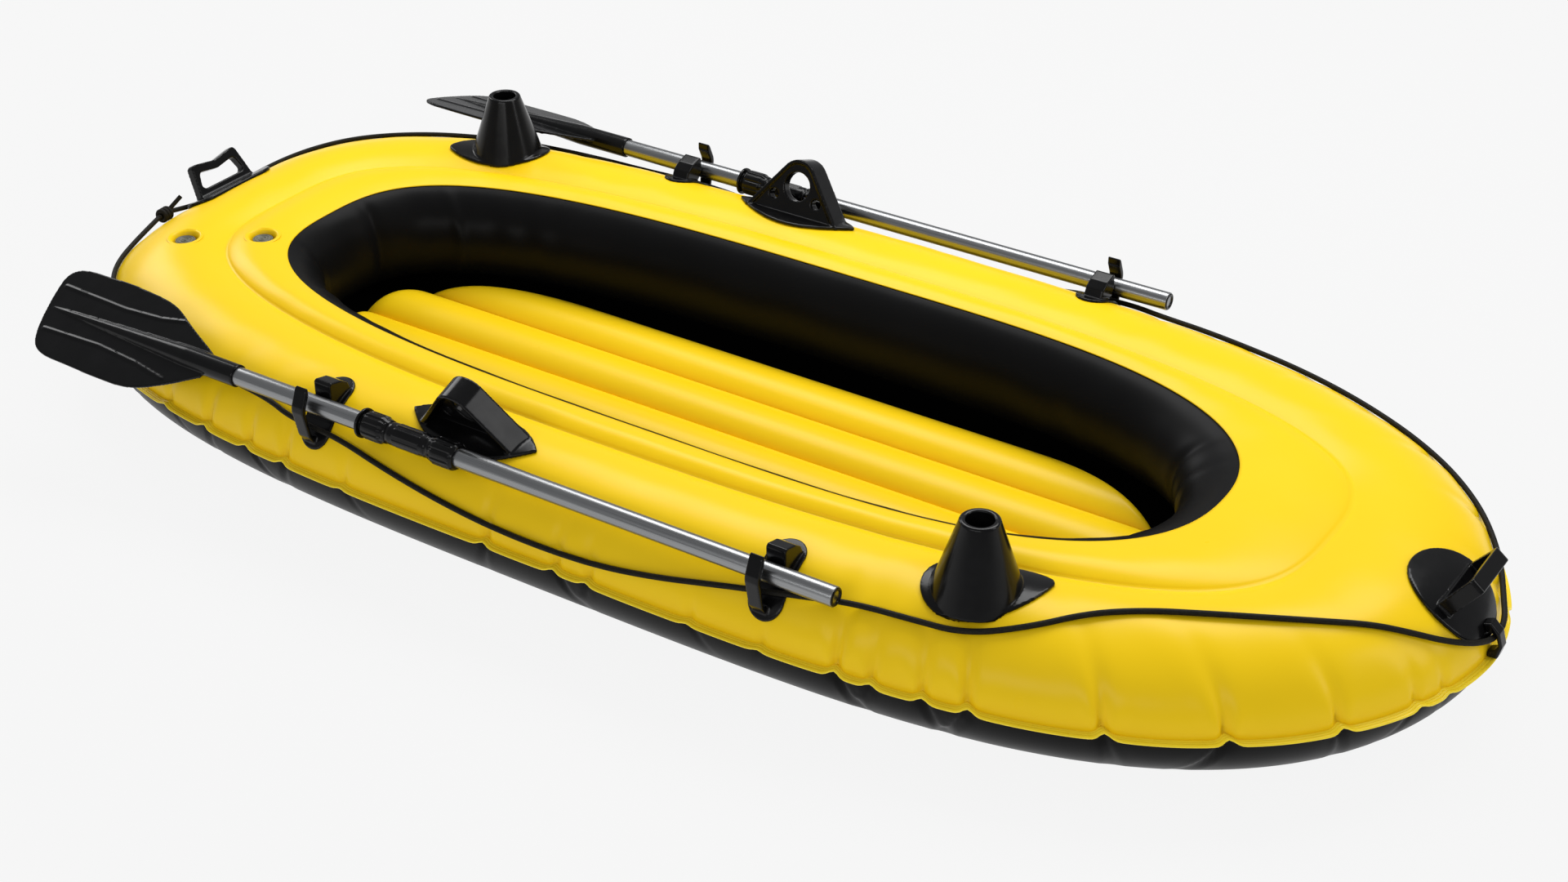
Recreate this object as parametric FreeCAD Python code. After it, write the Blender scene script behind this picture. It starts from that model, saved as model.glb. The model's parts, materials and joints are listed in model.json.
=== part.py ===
import FreeCAD, Part

import math
import os

# Inflatable rowing dinghy with two stowed oars.  Millimetres.
# X runs from stern to bow, +Y to port, +Z up.  The hull is drawn from its own widest section, and every
# piece is moved at the end so that the origin is on the ground under the middle of the whole object.

Vector = FreeCAD.Vector
X_AXIS = Vector(1, 0, 0)
Y_AXIS = Vector(0, 1, 0)
Z_AXIS = Vector(0, 0, 1)
PORT = 1
STARBOARD = -1
SIDES = {"starboard": STARBOARD, "port": PORT}

# --- driving dimensions -------------------------------------------------------------------------
FILM = 1.2                    # vinyl film
TUBE_HEIGHT = 212.0           # outer chamber, ground to crest
TUBE_RISE = TUBE_HEIGHT / 2
MIDDLE_X = 10.0               # the whole object's middle, forward of the widest section
GROOVE_ANGLE = 117.5          # where the two chambers' skins meet, round the outer chamber
CROWN_HEIGHT = 213.0          # inner chamber, top between groove and rim
RIM_HEIGHT = 208.0
WALL_HEIGHT = 125.0           # height at which the inner wall bulges furthest into the cockpit
INNER_FOOT = 44.0             # where the inner chamber's wall meets the baffle
FLOOR_SHEET = 8.0             # underside of the floor chamber
BOW_FOCUS = 360.0             # the hull's sections fan out from these two points on the centreline
STERN_FOCUS = -500.0
END_STEPS = 9
SIDE_STEPS = 8

OAR_Y = 473.0
OAR_Z = 206.0
SHAFT_R = 14.0
SHAFT_WALL = 1.5
RUNNING_GAP = 0.05            # radial clearance of a shaft in its bore

CLIP_X = {"aft": -436.0, "fore": 334.0}
OARLOCK_X = -196.0

ROPE_R = 4.0


# --- plan curves of the hull --------------------------------------------------------------------
class PlanCurve:
    """Closed curve seen from above: two power curves that share their widest point."""

    def __init__(self, stern_x, bow_x, widest_x, half_width, stern_powers, bow_powers):
        self.widest_x = widest_x
        self.half_width = half_width
        self.ends = {-1: (widest_x - stern_x, stern_powers), 1: (bow_x - widest_x, bow_powers)}

    def level(self, x, y):
        """Negative inside the curve, zero on it and positive outside."""
        end = 1 if x >= self.widest_x else -1
        length, (along_power, across_power) = self.ends[end]
        along = abs(x - self.widest_x) / length
        return along ** along_power + abs(y / self.half_width) ** across_power - 1

    def distance(self, start, direction, furthest=800.0):
        """Distance to the curve from a start inside it."""
        near, far = 0.0, furthest
        for _ in range(40):
            middle = (near + far) / 2
            probe = start + direction * middle
            if self.level(probe.x, probe.y) < 0:
                near = middle
            else:
                far = middle
        return near


SEAM = PlanCurve(-1112, 1127, -4, 500, (3.9, 3.25), (3.75, 1.8))
GROOVE = PlanCurve(-935, 899, -105, 330, (2.35, 3.45), (2.65, 3.1))
RIM = PlanCurve(-833, 746, 37, 276, (3.4, 2.9), (3.4, 2.3))
WALL = PlanCurve(-795, 668, 14, 222, (3.0, 2.6), (3.3, 2.3))


class Station:
    """Upright section of the hull, looking outward from a point on the centreline."""

    def __init__(self, start_x, heading):
        start = Vector(start_x, 0, 0)
        self.outward = Vector(math.cos(heading), math.sin(heading), 0)
        groove = GROOVE.distance(start, self.outward)
        self.base = start + self.outward * groove
        self.seam = SEAM.distance(start, self.outward) - groove
        self.rim = RIM.distance(start, self.outward) - groove
        self.wall = WALL.distance(start, self.outward) - groove
        self.tube_reach = self.seam / (1 - math.cos(math.radians(GROOVE_ANGLE)))
        self.tube_middle = self.seam - self.tube_reach

    def place(self, across, height):
        return self.base + self.outward * across + Z_AXIS * height

    def tube_point(self, angle, offset=0.0):
        """Point round the outer chamber: 0 at the seam, 90 at the crest."""
        turn = math.radians(angle)
        across = self.tube_middle + (self.tube_reach + offset) * math.cos(turn)
        return across, TUBE_RISE + (TUBE_RISE + offset) * math.sin(turn)


def hull_stations(overrun):
    """Stations from bow to stern on the port side, and overrun more past the centreline at each end."""
    right_angle = math.pi / 2
    step = right_angle / END_STEPS
    bow = [Station(BOW_FOCUS, step * i) for i in range(-overrun, END_STEPS)]
    side_run = BOW_FOCUS - STERN_FOCUS
    side = [Station(BOW_FOCUS - side_run * i / SIDE_STEPS, right_angle) for i in range(SIDE_STEPS)]
    stern = [Station(STERN_FOCUS, right_angle + step * i) for i in range(END_STEPS + 1 + overrun)]
    return bow + side + stern


STATIONS = hull_stations(0)
LOFT_STATIONS = hull_stations(2)    # the overrun keeps the lofted skins smooth where the halves meet
PORT_HALF = Part.makeBox(3000, 1000, 1000, Vector(-1500, 0, -300))


# --- building blocks ----------------------------------------------------------------------------
def spline_edge(points):
    curve = Part.BSplineCurve()
    curve.interpolate(points)
    return curve.toShape()


def offset_line(line, distance):
    """Moves a line of (across, height) points sideways, to the left of its direction."""
    moved = []
    for i, (across, height) in enumerate(line):
        before = line[max(i - 1, 0)]
        after = line[min(i + 1, len(line) - 1)]
        run = math.hypot(after[0] - before[0], after[1] - before[1])
        side = (-(after[1] - before[1]) / run, (after[0] - before[0]) / run)
        moved.append((across + side[0] * distance, height + side[1] * distance))
    return moved


def skin_wire(station, line, thickness):
    """Closed section of a film that follows a line of (across, height) points."""
    outer = [station.place(*p) for p in line]
    inner = [station.place(*p) for p in offset_line(line, thickness)]
    edges = [
        spline_edge(outer),
        Part.makeLine(outer[-1], inner[-1]),
        spline_edge(inner[::-1]),
        Part.makeLine(inner[0], outer[0]),
    ]
    return Part.Wire(edges)


def ring_loft(wires):
    """Solid ring through port sections, joined to its mirror image on the centreline."""
    half = Part.makeLoft(wires, True, False).common(PORT_HALF)
    return half.fuse(half.mirror(Vector(0, 0, 0), Y_AXIS))


def ring_skin(line_at, thickness=FILM):
    """Film all round the hull; line_at gives a station's section line."""
    return ring_loft([skin_wire(station, line_at(station), thickness) for station in LOFT_STATIONS])


def tube_arc(first, last, count, offset=0.0):
    def line_at(station):
        angles = [first + (last - first) * i / (count - 1) for i in range(count)]
        return [station.tube_point(angle, offset) for angle in angles]
    return line_at


def tube_solid(offset):
    """The outer chamber as a solid, grown by offset, for shaping the fittings' bases."""
    wires = []
    for station in LOFT_STATIONS:
        quarters = []
        for first in range(0, 360, 90):
            angles = range(first, first + 91, 15)
            quarters.append(spline_edge([station.place(*station.tube_point(a, offset)) for a in angles]))
        wires.append(Part.Wire(quarters))
    return ring_loft(wires)


# --- hull film ----------------------------------------------------------------------------------
FOOT_ANGLE = 180 + math.degrees(math.asin(1 - INNER_FOOT / TUBE_RISE))
SHEET_ANGLE = 180 + math.degrees(math.asin(1 - FLOOR_SHEET / TUBE_RISE))
SEAM_SHARE = 1.5              # degrees of the section that the seam flange takes on each side


def crown_line(station):
    groove = station.tube_point(GROOVE_ANGLE)
    middle = (station.rim * 0.5, CROWN_HEIGHT)
    return [groove, (station.rim * 0.15, (groove[1] + CROWN_HEIGHT) / 2 + 3), middle,
            (station.rim * 0.85, (RIM_HEIGHT + CROWN_HEIGHT) / 2 + 1.5), (station.rim, RIM_HEIGHT)]


def wall_line(station):
    belly = station.wall - station.rim
    foot = station.tube_point(FOOT_ANGLE, FILM)
    return [
        (station.rim, RIM_HEIGHT),
        (station.rim + belly * 0.8, 172.0),
        (station.wall, WALL_HEIGHT),
        (station.wall - belly * 0.25, 75.0),
        (station.wall - belly * 0.8, INNER_FOOT + 6),
        (foot[0] - 2, INNER_FOOT),
    ]


def flange_line(station):
    return [
        (station.seam - 1.0, TUBE_RISE),
        (station.seam + 5.0, TUBE_RISE - 1.0),
        (station.seam + 12.0, TUBE_RISE - 4.0),
    ]


def make_hull_film():
    return {
        "outer_top_skin": ring_skin(tube_arc(SEAM_SHARE, GROOVE_ANGLE, 9)),
        "outer_bottom_skin": ring_skin(tube_arc(360 - SEAM_SHARE, SHEET_ANGLE, 9), -FILM),
        "chamber_baffle": ring_skin(tube_arc(GROOVE_ANGLE + 1, SHEET_ANGLE - 1, 9)),
        "seam_flange": ring_skin(flange_line, 2 * FILM),
        "inner_top_skin": ring_skin(crown_line),
        "inner_wall_skin": ring_skin(wall_line),
    }


# --- floor --------------------------------------------------------------------------------------
CHANNELS = 4
CHANNEL_WIDTH = 104.0
CHANNEL_VALLEY = 44.0         # height of the seams between the floor's channels
CHANNEL_CREST = 62.0
FLOOR_INSET = 7.0             # the floor's film stops this far inside the wall's bulge
WEB_GAP = 1.0
SHEET_INSET = 5.0             # the bottom sheet stops this far inside the outer chamber's film


def plan_prism(reach, low, high):
    """Upright solid whose outline lies reach(station) outward of the groove."""
    port = [station.place(reach(station), 0) for station in STATIONS]
    starboard = [Vector(p.x, -p.y, 0) for p in port[1:-1]]
    outline = Part.BSplineCurve()
    outline.interpolate(Points=port + starboard[::-1], PeriodicFlag=True)
    face = Part.Face(Part.Wire(outline.toShape()))
    face.translate(Vector(0, 0, low))
    return face.extrude(Vector(0, 0, high - low))


def channel_film(stern, bow):
    """Corrugated film: one low arch over each channel, drawn out along the boat."""
    edges = []
    half = CHANNELS * CHANNEL_WIDTH / 2
    for drop in (0.0, FILM):
        for i in range(CHANNELS):
            left = i * CHANNEL_WIDTH - half
            start = Vector(stern, left, CHANNEL_VALLEY - drop)
            middle = Vector(stern, left + CHANNEL_WIDTH / 2, CHANNEL_CREST - drop)
            end = Vector(stern, left + CHANNEL_WIDTH, CHANNEL_VALLEY - drop)
            edges.append(Part.Arc(start, middle, end).toShape())
    for y in (-half, half):
        top = Vector(stern, y, CHANNEL_VALLEY)
        edges.append(Part.makeLine(top, top - Z_AXIS * FILM))
    face = Part.Face(Part.Wire(Part.__sortEdges__(edges)))
    return face.extrude(Vector(bow - stern, 0, 0))


def make_floor():
    stern, bow = -900.0, 800.0
    inside = plan_prism(lambda station: station.wall - FLOOR_INSET, CHANNEL_VALLEY - 10, CHANNEL_CREST + 10)
    film = channel_film(stern, bow).common(inside)
    sheet = plan_prism(lambda station: station.tube_point(SHEET_ANGLE, -FILM)[0] - SHEET_INSET,
                       FLOOR_SHEET, FLOOR_SHEET + FILM)
    bottom = FLOOR_SHEET + FILM + WEB_GAP
    top = CHANNEL_VALLEY - FILM - WEB_GAP
    core = plan_prism(lambda station: station.wall - 30.0, bottom, top)
    webs = []
    for i in range(1, CHANNELS):
        y = (i - CHANNELS / 2) * CHANNEL_WIDTH
        slab = Part.makeBox(bow - stern, FILM, top - bottom, Vector(stern, y - FILM / 2, bottom))
        webs.append(slab.common(core))
    return {"floor_top_skin": film, "floor_bottom_skin": sheet, "floor_webs": Part.makeCompound(webs)}


# --- fittings: shared helpers -------------------------------------------------------------------
BASE_GAP = 0.2                # between a fitting's base and the skin it is welded to
PATCH_THICK = 5.0             # bases of the oarlocks, rod holders and handles
NEAR_SKIN = tube_solid(BASE_GAP)


def saddle(outline, thickness):
    """The part of an outline solid that lies within thickness of the outer chamber."""
    return outline.common(tube_solid(BASE_GAP + thickness)).cut(NEAR_SKIN)


def polygon_face(points):
    wire = Part.makePolygon(points + [points[0]])
    return Part.Face(wire)


def plate_yz(points, x_from, x_to):
    """Plate square to X from (y, z) corners."""
    face = polygon_face([Vector(x_from, y, z) for y, z in points])
    return face.extrude(Vector(x_to - x_from, 0, 0))


def cylinder(radius, start, end):
    axis = end - start
    return Part.makeCylinder(radius, axis.Length, start, axis)


def tube(outer, inner, start, end):
    return cylinder(outer, start, end).cut(cylinder(inner, start, end))


def local_frame(origin, forward, up):
    """Placement whose X is forward and whose Z is up."""
    rotation = FreeCAD.Rotation(forward, up.cross(forward), up, "ZXY")
    return FreeCAD.Placement(origin, rotation)


def to_side(shape, side):
    return shape if side == PORT else shape.mirror(Vector(0, 0, 0), Y_AXIS)


def turned(profile):
    """Solid of revolution about Z from (radius, height) corners."""
    face = polygon_face([Vector(r, 0, z) for r, z in profile])
    return face.revolve(Vector(0, 0, 0), Z_AXIS, 360)


# --- oar clips ----------------------------------------------------------------------------------
CLIP_BASE = 4.0
CLIP_HALF_WIDTH = 26.0
CLIP_HALF_LENGTH = 59.0
CLIP_TWIST = -3.0             # degrees that the base's lower end is turned towards the stern
CLIP_SLOPE = 50.0             # where the base sits round the outer chamber
ARM_X = (-12.0, 9.0)
HORN_X = (-12.0, 18.0)
# Corners of the hooked arm and of the horn, outward and upward of the oar's axis.
ARM_OUTLINE = [(6, -55), (16, -55), (26, -40), (35, 2), (34, 10), (24, 33), (20, 37), (18, 36),
               (18, 25), (26, 7), (27, 0), (21.5, -34), (20.5, -41), (8, -46)]
HORN_OUTLINE = [(-58, 4), (-53, 16), (-40, 25), (-19, 30), (-15, 27), (-15, 4), (-24, -8)]


def capsule(half_length, half_width, low, high):
    """Upright solid with a round-ended outline, long in Y."""
    straight = half_length - half_width
    body = Part.makeBox(2 * half_width, 2 * straight, high - low, Vector(-half_width, -straight, low))
    for y in (-straight, straight):
        body = body.fuse(Part.makeCylinder(half_width, high - low, Vector(0, y, low)))
    return body.removeSplitter()


def make_clip(x):
    station = Station(x, math.pi / 2)
    slope = math.radians(CLIP_SLOPE)
    normal = Vector(0, math.cos(slope), math.sin(slope))
    seat = station.place(*station.tube_point(CLIP_SLOPE))
    outline = capsule(CLIP_HALF_LENGTH, CLIP_HALF_WIDTH, -30, 30)
    outline.rotate(Vector(0, 0, 0), Z_AXIS, CLIP_TWIST)
    outline.Placement = local_frame(seat, X_AXIS, normal).multiply(outline.Placement)
    clip = saddle(outline, CLIP_BASE)
    for corners, (x_from, x_to) in ((ARM_OUTLINE, ARM_X), (HORN_OUTLINE, HORN_X)):
        points = [(OAR_Y + y, OAR_Z + z) for y, z in corners]
        clip = clip.fuse(plate_yz(points, x + x_from, x + x_to).cut(NEAR_SKIN))
    return clip


# --- oarlocks -----------------------------------------------------------------------------------
LOCK_SEAT_ANGLE = 77.0        # where the oarlock stands round the outer chamber
LOCK_LEAN = 20.0              # degrees outboard
LOCK_HALF_BASE = 92.0
LOCK_TOP_R = 33.0
LOCK_TOP = 57.0               # middle of the rounded top, above the seat
LOCK_FOOT = -8.0
LOCK_BAND = 42.0              # width of the outer band, across the boat
LOCK_RIM = 6.0
LOCK_WEB = (-18.0, 0.0)       # the web sits towards the cockpit side of the band
LOCK_HOLE = (0.0, 46.0, 23.5)
LOCK_SMALL_HOLES = ((-40.0, 26.0, 8.5), (40.0, 26.0, 8.5))
LOCK_FLANGE_HALF = 110.0
LOCK_FLANGE_WIDTH = 46.0


def rounded_triangle(inset):
    """Upright triangle with a round top, in the XZ plane."""
    radius = LOCK_TOP_R - inset
    half = LOCK_HALF_BASE - inset * 1.6
    height = LOCK_TOP - LOCK_FOOT
    lean = math.atan2(half, height) - math.asin(radius / math.hypot(half, height))
    normal = math.pi / 2 - lean
    side = Vector(radius * math.sin(normal), 0, LOCK_TOP + radius * math.cos(normal))
    left = Vector(-side.x, 0, side.z)
    foot = Vector(half, 0, LOCK_FOOT)
    far_foot = Vector(-half, 0, LOCK_FOOT)
    edges = [
        Part.makeLine(far_foot, foot),
        Part.makeLine(foot, side),
        Part.Arc(side, Vector(0, 0, LOCK_TOP + radius), left).toShape(),
        Part.makeLine(left, far_foot),
    ]
    return Part.Face(Part.Wire(edges))


def slab_from(face, y_from, y_to):
    solid = face.extrude(Vector(0, y_to - y_from, 0))
    solid.translate(Vector(0, y_from, 0))
    return solid


def lens_prism(half_length, half_width, low, high):
    """Upright solid with a boat-shaped outline, pointed fore and aft."""
    tip = Vector(half_length, 0, low)
    stern_tip = Vector(-half_length, 0, low)
    arcs = [
        Part.Arc(tip, Vector(0, half_width, low), stern_tip).toShape(),
        Part.Arc(stern_tip, Vector(0, -half_width, low), tip).toShape(),
    ]
    return Part.Face(Part.Wire(arcs)).extrude(Vector(0, 0, high - low))


def make_oarlock():
    station = Station(OARLOCK_X, math.pi / 2)
    seat = station.place(*station.tube_point(LOCK_SEAT_ANGLE))
    half = LOCK_BAND / 2
    band = slab_from(rounded_triangle(0), -half, half)
    band = band.cut(slab_from(rounded_triangle(LOCK_RIM), -half - 1, half + 1))
    lock = band.fuse(slab_from(rounded_triangle(LOCK_RIM - 1), *LOCK_WEB))
    for x, z, radius in (LOCK_HOLE,) + LOCK_SMALL_HOLES:
        start = Vector(x, -LOCK_BAND, z)
        lock = lock.cut(cylinder(radius, start, start + Y_AXIS * (2 * LOCK_BAND)))
    lock.rotate(Vector(0, 0, 0), X_AXIS, -LOCK_LEAN)
    lock.translate(seat)
    flange = lens_prism(LOCK_FLANGE_HALF, LOCK_FLANGE_WIDTH, TUBE_RISE, TUBE_HEIGHT + 20)
    flange.translate(Vector(seat.x, seat.y, 0))
    return saddle(flange, PATCH_THICK).fuse(lock.cut(NEAR_SKIN))


# --- rod holders --------------------------------------------------------------------------------
ROD_HEADING = {"starboard": 59.0, "port": 125.0}   # degrees, fanned from the bow or stern focus
ROD_TOP = 312.0
ROD_FOOT = 210.0
ROD_TOP_R = 26.0
ROD_FOOT_R = 60.0
ROD_BORE_R = 18.5
ROD_WALL = 3.0
ROD_BORE_FLOOR = 222.0
ROD_FLANGE_LONG = 96.0        # the flange runs out further towards its own end of the boat
ROD_FLANGE_SHORT = 72.0
ROD_FLANGE_WIDTH = 58.0
ROD_OUTBOARD = 15.0           # outboard of the outer chamber's middle


def leaf_prism(long, short, half_width, low, high):
    """Upright solid with an egg-shaped outline: long towards +X, short towards -X."""
    points = [
        Vector(long, 0, low), Vector(long * 0.45, half_width * 0.82, low), Vector(-short * 0.1, half_width, low),
        Vector(-short * 0.8, half_width * 0.62, low), Vector(-short, 0, low),
        Vector(-short * 0.8, -half_width * 0.62, low), Vector(-short * 0.1, -half_width, low),
        Vector(long * 0.45, -half_width * 0.82, low),
    ]
    outline = Part.BSplineCurve()
    outline.interpolate(Points=points, PeriodicFlag=True)
    return Part.Face(Part.Wire(outline.toShape())).extrude(Vector(0, 0, high - low))


def make_rod_holder(name):
    heading = math.radians(ROD_HEADING[name])
    at_bow = ROD_HEADING[name] < 90
    station = Station(BOW_FOCUS if at_bow else STERN_FOCUS, heading)
    middle = station.place(station.tube_middle + ROD_OUTBOARD, 0)
    forward = Vector(math.sin(heading), -math.cos(heading), 0)
    place = local_frame(middle, forward if at_bow else forward * -1, Z_AXIS)
    slope = (ROD_FOOT_R - ROD_TOP_R) / (ROD_TOP - ROD_FOOT)
    cone = turned([
        (ROD_BORE_R, ROD_TOP), (ROD_TOP_R, ROD_TOP), (ROD_FOOT_R, ROD_FOOT),
        (ROD_FOOT_R + 12 * slope, ROD_FOOT - 12), (ROD_FOOT_R - ROD_WALL, ROD_FOOT - 12),
        (ROD_FOOT_R - ROD_WALL - 2, ROD_FOOT), (ROD_TOP_R - 1.0, ROD_TOP - 12),
        (ROD_BORE_R + ROD_WALL, ROD_TOP - 12), (ROD_BORE_R + ROD_WALL, ROD_BORE_FLOOR - ROD_WALL),
        (0, ROD_BORE_FLOOR - ROD_WALL), (0, ROD_BORE_FLOOR), (ROD_BORE_R, ROD_BORE_FLOOR),
    ])
    flange = leaf_prism(ROD_FLANGE_LONG, ROD_FLANGE_SHORT, ROD_FLANGE_WIDTH, TUBE_RISE, ROD_FOOT + 20)
    cone.Placement = place
    flange.Placement = place
    return saddle(flange, PATCH_THICK).fuse(cone.cut(NEAR_SKIN))


# --- grab handles -------------------------------------------------------------------------------
BOW_PATCH_ANGLE = 48.0        # where the patch sits round the outer chamber
BOW_PATCH_R = 70.0
BOW_LOOP_HALF = 57.0
BOW_LOOP_RISE = 60.0
BOW_LOOP_WIDTH = 22.0
BOW_LOOP_LEAN = 7.0           # degrees down the tube
BOW_LOOP_THICK = 9.0
BOW_LOOP_SPLAY = 10.0         # each foot stands this far outside the corner above it
LOOP_FOOT = -14.0             # the loops' feet start inside the tube and are trimmed to its skin
CLEAT_ANGLE = 14.0
CLEAT_WIDTH = 18.0
CLEAT_ROOM = 200.0            # the space over the seam that the cleat is trimmed to
CLEAT_ROOM_START = 1050.0
STERN_PATCH_ANGLE = 56.0
STERN_HANDLE_HALF = 63.0
STERN_HANDLE_RISE = 60.0
STERN_HANDLE_THICK = 16.0
STERN_HANDLE_SPLAY = 14.0
STERN_HANDLE_DIP = 8.0        # hollow in the middle of the grip
STERN_HOLE_FLOOR = 16.0
STERN_GRIP_THICK = 16.0
STERN_FLANGE = (88.0, 30.0)   # half length and half width


def end_frame(at_bow, angle):
    """Frame on the outer chamber at bow or stern: X to port, Y up the tube, Z out of the skin."""
    station = Station(BOW_FOCUS, 0) if at_bow else Station(STERN_FOCUS, math.pi)
    turn = math.radians(angle)
    seat = station.place(*station.tube_point(angle))
    normal = station.outward * (math.cos(turn) / station.tube_reach) + Z_AXIS * (math.sin(turn) / TUBE_RISE)
    return local_frame(seat, Y_AXIS, normal.normalize())


def loop_plate(outline, hole, thickness):
    """Plate in the local XZ plane with a hole, thick in Y."""
    solid = Part.Face([Part.Wire(outline), Part.Wire(hole)]) if hole else Part.Face(Part.Wire(outline))
    solid.validate()
    block = solid.extrude(Vector(0, thickness, 0))
    block.translate(Vector(0, -thickness / 2, 0))
    return block


def rounded_polygon(corners, radius):
    """Edges of a polygon in the XZ plane with equal rounded corners."""
    count = len(corners)
    edges = []
    last = None
    first = None
    for i in range(count):
        here = Vector(corners[i][0], 0, corners[i][1])
        before = Vector(corners[i - 1][0], 0, corners[i - 1][1]) - here
        after = Vector(corners[(i + 1) % count][0], 0, corners[(i + 1) % count][1]) - here
        half_turn = before.getAngle(after) / 2
        before.normalize()
        after.normalize()
        reach = radius / math.tan(half_turn)
        start = here + before * reach
        end = here + after * reach
        bisector = (before + after).normalize()
        middle = here + bisector * (radius / math.sin(half_turn) - radius)
        if last is not None:
            edges.append(Part.makeLine(last, start))
        else:
            first = start
        edges.append(Part.Arc(start, middle, end).toShape())
        last = end
    edges.append(Part.makeLine(last, first))
    return edges


def make_bow_handle():
    frame = end_frame(True, BOW_PATCH_ANGLE)
    disc = Part.makeCylinder(BOW_PATCH_R, 80, Vector(0, 0, -50))
    disc.Placement = frame
    half = BOW_LOOP_HALF
    rise = BOW_LOOP_RISE
    corner = half - BOW_LOOP_SPLAY
    wall = BOW_LOOP_THICK
    outer = [(-half, LOOP_FOOT), (-corner, rise), (corner, rise), (half, LOOP_FOOT)]
    hole = [(wall - half + 2, wall), (wall - corner, rise - wall), (corner - wall, rise - wall),
            (half - wall - 2, wall)]
    loop = loop_plate(rounded_polygon(outer, 7), rounded_polygon(hole, 4), BOW_LOOP_WIDTH)
    loop.rotate(Vector(0, 0, 0), X_AXIS, BOW_LOOP_LEAN)
    loop.Placement = frame.multiply(loop.Placement)
    return saddle(disc, PATCH_THICK).fuse(loop.cut(NEAR_SKIN))


def make_bow_cleat(handle):
    """Eyelet over the patch's lower edge; the grab rope runs through it along X of its frame."""
    profile = [(24, 2), (24, 13), (8, 21), (-12, 20), (-26, 11), (-42, -8), (-34, -14), (-16, -8),
               (-15, 9), (-9, 15), (5, 15.5), (11, 10), (11, -6)]
    half = CLEAT_WIDTH / 2
    face = polygon_face([Vector(-half, y, z) for y, z in profile])
    cleat = face.extrude(Vector(CLEAT_WIDTH, 0, 0))
    cleat.Placement = end_frame(True, CLEAT_ANGLE)
    above_seam = Part.makeBox(CLEAT_ROOM, CLEAT_ROOM, CLEAT_ROOM,
                              Vector(CLEAT_ROOM_START, -CLEAT_ROOM / 2, TUBE_RISE + 2 * FILM + BASE_GAP))
    return cleat.cut(NEAR_SKIN).cut(handle).common(above_seam)


def make_stern_handle():
    frame = end_frame(False, STERN_PATCH_ANGLE)
    flange = capsule(*STERN_FLANGE, -40, 40)
    flange.rotate(Vector(0, 0, 0), Z_AXIS, 90)
    flange.Placement = frame.multiply(flange.Placement)
    half = STERN_HANDLE_HALF
    corner = half - STERN_HANDLE_SPLAY
    rise = STERN_HANDLE_RISE
    hole_top = rise - STERN_GRIP_THICK
    hole_corner = corner - STERN_HANDLE_SPLAY * 0.7
    outer = [(-half, LOOP_FOOT), (-corner, rise), (0, rise - STERN_HANDLE_DIP), (corner, rise), (half, LOOP_FOOT)]
    hole = [(-corner, STERN_HOLE_FLOOR), (-hole_corner, hole_top), (0, hole_top - STERN_HANDLE_DIP + 2),
            (hole_corner, hole_top), (corner, STERN_HOLE_FLOOR)]
    handle = loop_plate(rounded_polygon(outer, 9), rounded_polygon(hole, 7), STERN_HANDLE_THICK)
    handle.Placement = frame
    return saddle(flange, PATCH_THICK).fuse(handle.cut(NEAR_SKIN))


# --- valves -------------------------------------------------------------------------------------
WELL_R = 22.5
WELL_DEPTH = 15.0
WELL_LIP = 1.5
WELL_CHAMFER = 6.0               # drop of the cup's sloping underside
WELL_FLOOR = 2.0
NECK_R = 8.0
NECK_BORE_R = 5.0
NECK_HEIGHT = 8.0
CAP_R = 16.0
CAP_HEIGHT = 8.7
CAP_RINGS = (13.0, 10.0, 7.0, 4.0)    # radii between which the cap's face is stepped
CAP_STEP = 1.0
CAP_SEAT_GAP = 0.3               # under the cap's skirt, and over the neck
VALVES = {"outer": (-963.0, -196.0, 208.0), "inner": (-860.0, -128.0, 209.0), "floor": (-520.0, -156.0, 61.0)}
VALVE_SKINS = {"outer": "outer_top_skin", "inner": "inner_top_skin", "floor": "floor_top_skin"}


def valve_hole(place):
    """What a valve's well takes out of the skin round it."""
    x, y, z = place
    return Part.makeCylinder(WELL_R + RUNNING_GAP, 3 * WELL_DEPTH, Vector(x, y, z - 2 * WELL_DEPTH))


def make_valve(place):
    """A recessed cup with a neck, and the ringed screw cap that closes it."""
    x, y, z = place
    floor = z - WELL_DEPTH
    inside = floor + WELL_FLOOR
    neck_top = floor + NECK_HEIGHT
    under = floor - WELL_CHAMFER
    well = turned([
        (NECK_BORE_R, under), (WELL_R - WELL_FLOOR, under), (WELL_R, floor), (WELL_R, z), (WELL_R - WELL_LIP, z),
        (WELL_R - WELL_LIP, inside), (NECK_R, inside), (NECK_R, neck_top), (NECK_BORE_R, neck_top),
    ])
    cap_low = inside + CAP_SEAT_GAP
    cap_top = cap_low + CAP_HEIGHT
    bore = NECK_R + RUNNING_GAP
    ring, groove, inner_ring, button = CAP_RINGS
    cap = turned([
        (bore, cap_low), (CAP_R, cap_low), (CAP_R, cap_top), (ring, cap_top), (ring, cap_top - CAP_STEP),
        (groove, cap_top - CAP_STEP), (groove, cap_top), (inner_ring, cap_top), (inner_ring, cap_top - CAP_STEP),
        (button, cap_top - CAP_STEP), (button, cap_top + CAP_STEP), (0, cap_top + CAP_STEP),
        (0, neck_top + CAP_SEAT_GAP), (bore, neck_top + CAP_SEAT_GAP),
    ])
    move = Vector(x, y, 0)
    well.translate(move)
    cap.translate(move)
    return well, cap


# --- oars ---------------------------------------------------------------------------------------
SOCKET_END = -582.0
SOCKET_LENGTH = 100.0
SOCKET_WALL = 3.0
SOCKET_DEPTH = 70.0
SHAFT_IN_SOCKET = 68.0
BLADE_ROLL = {"starboard": 28.0, "port": 14.0}    # degrees that the blade's inboard edge is raised
BLADE_THICK = 4.5
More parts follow.
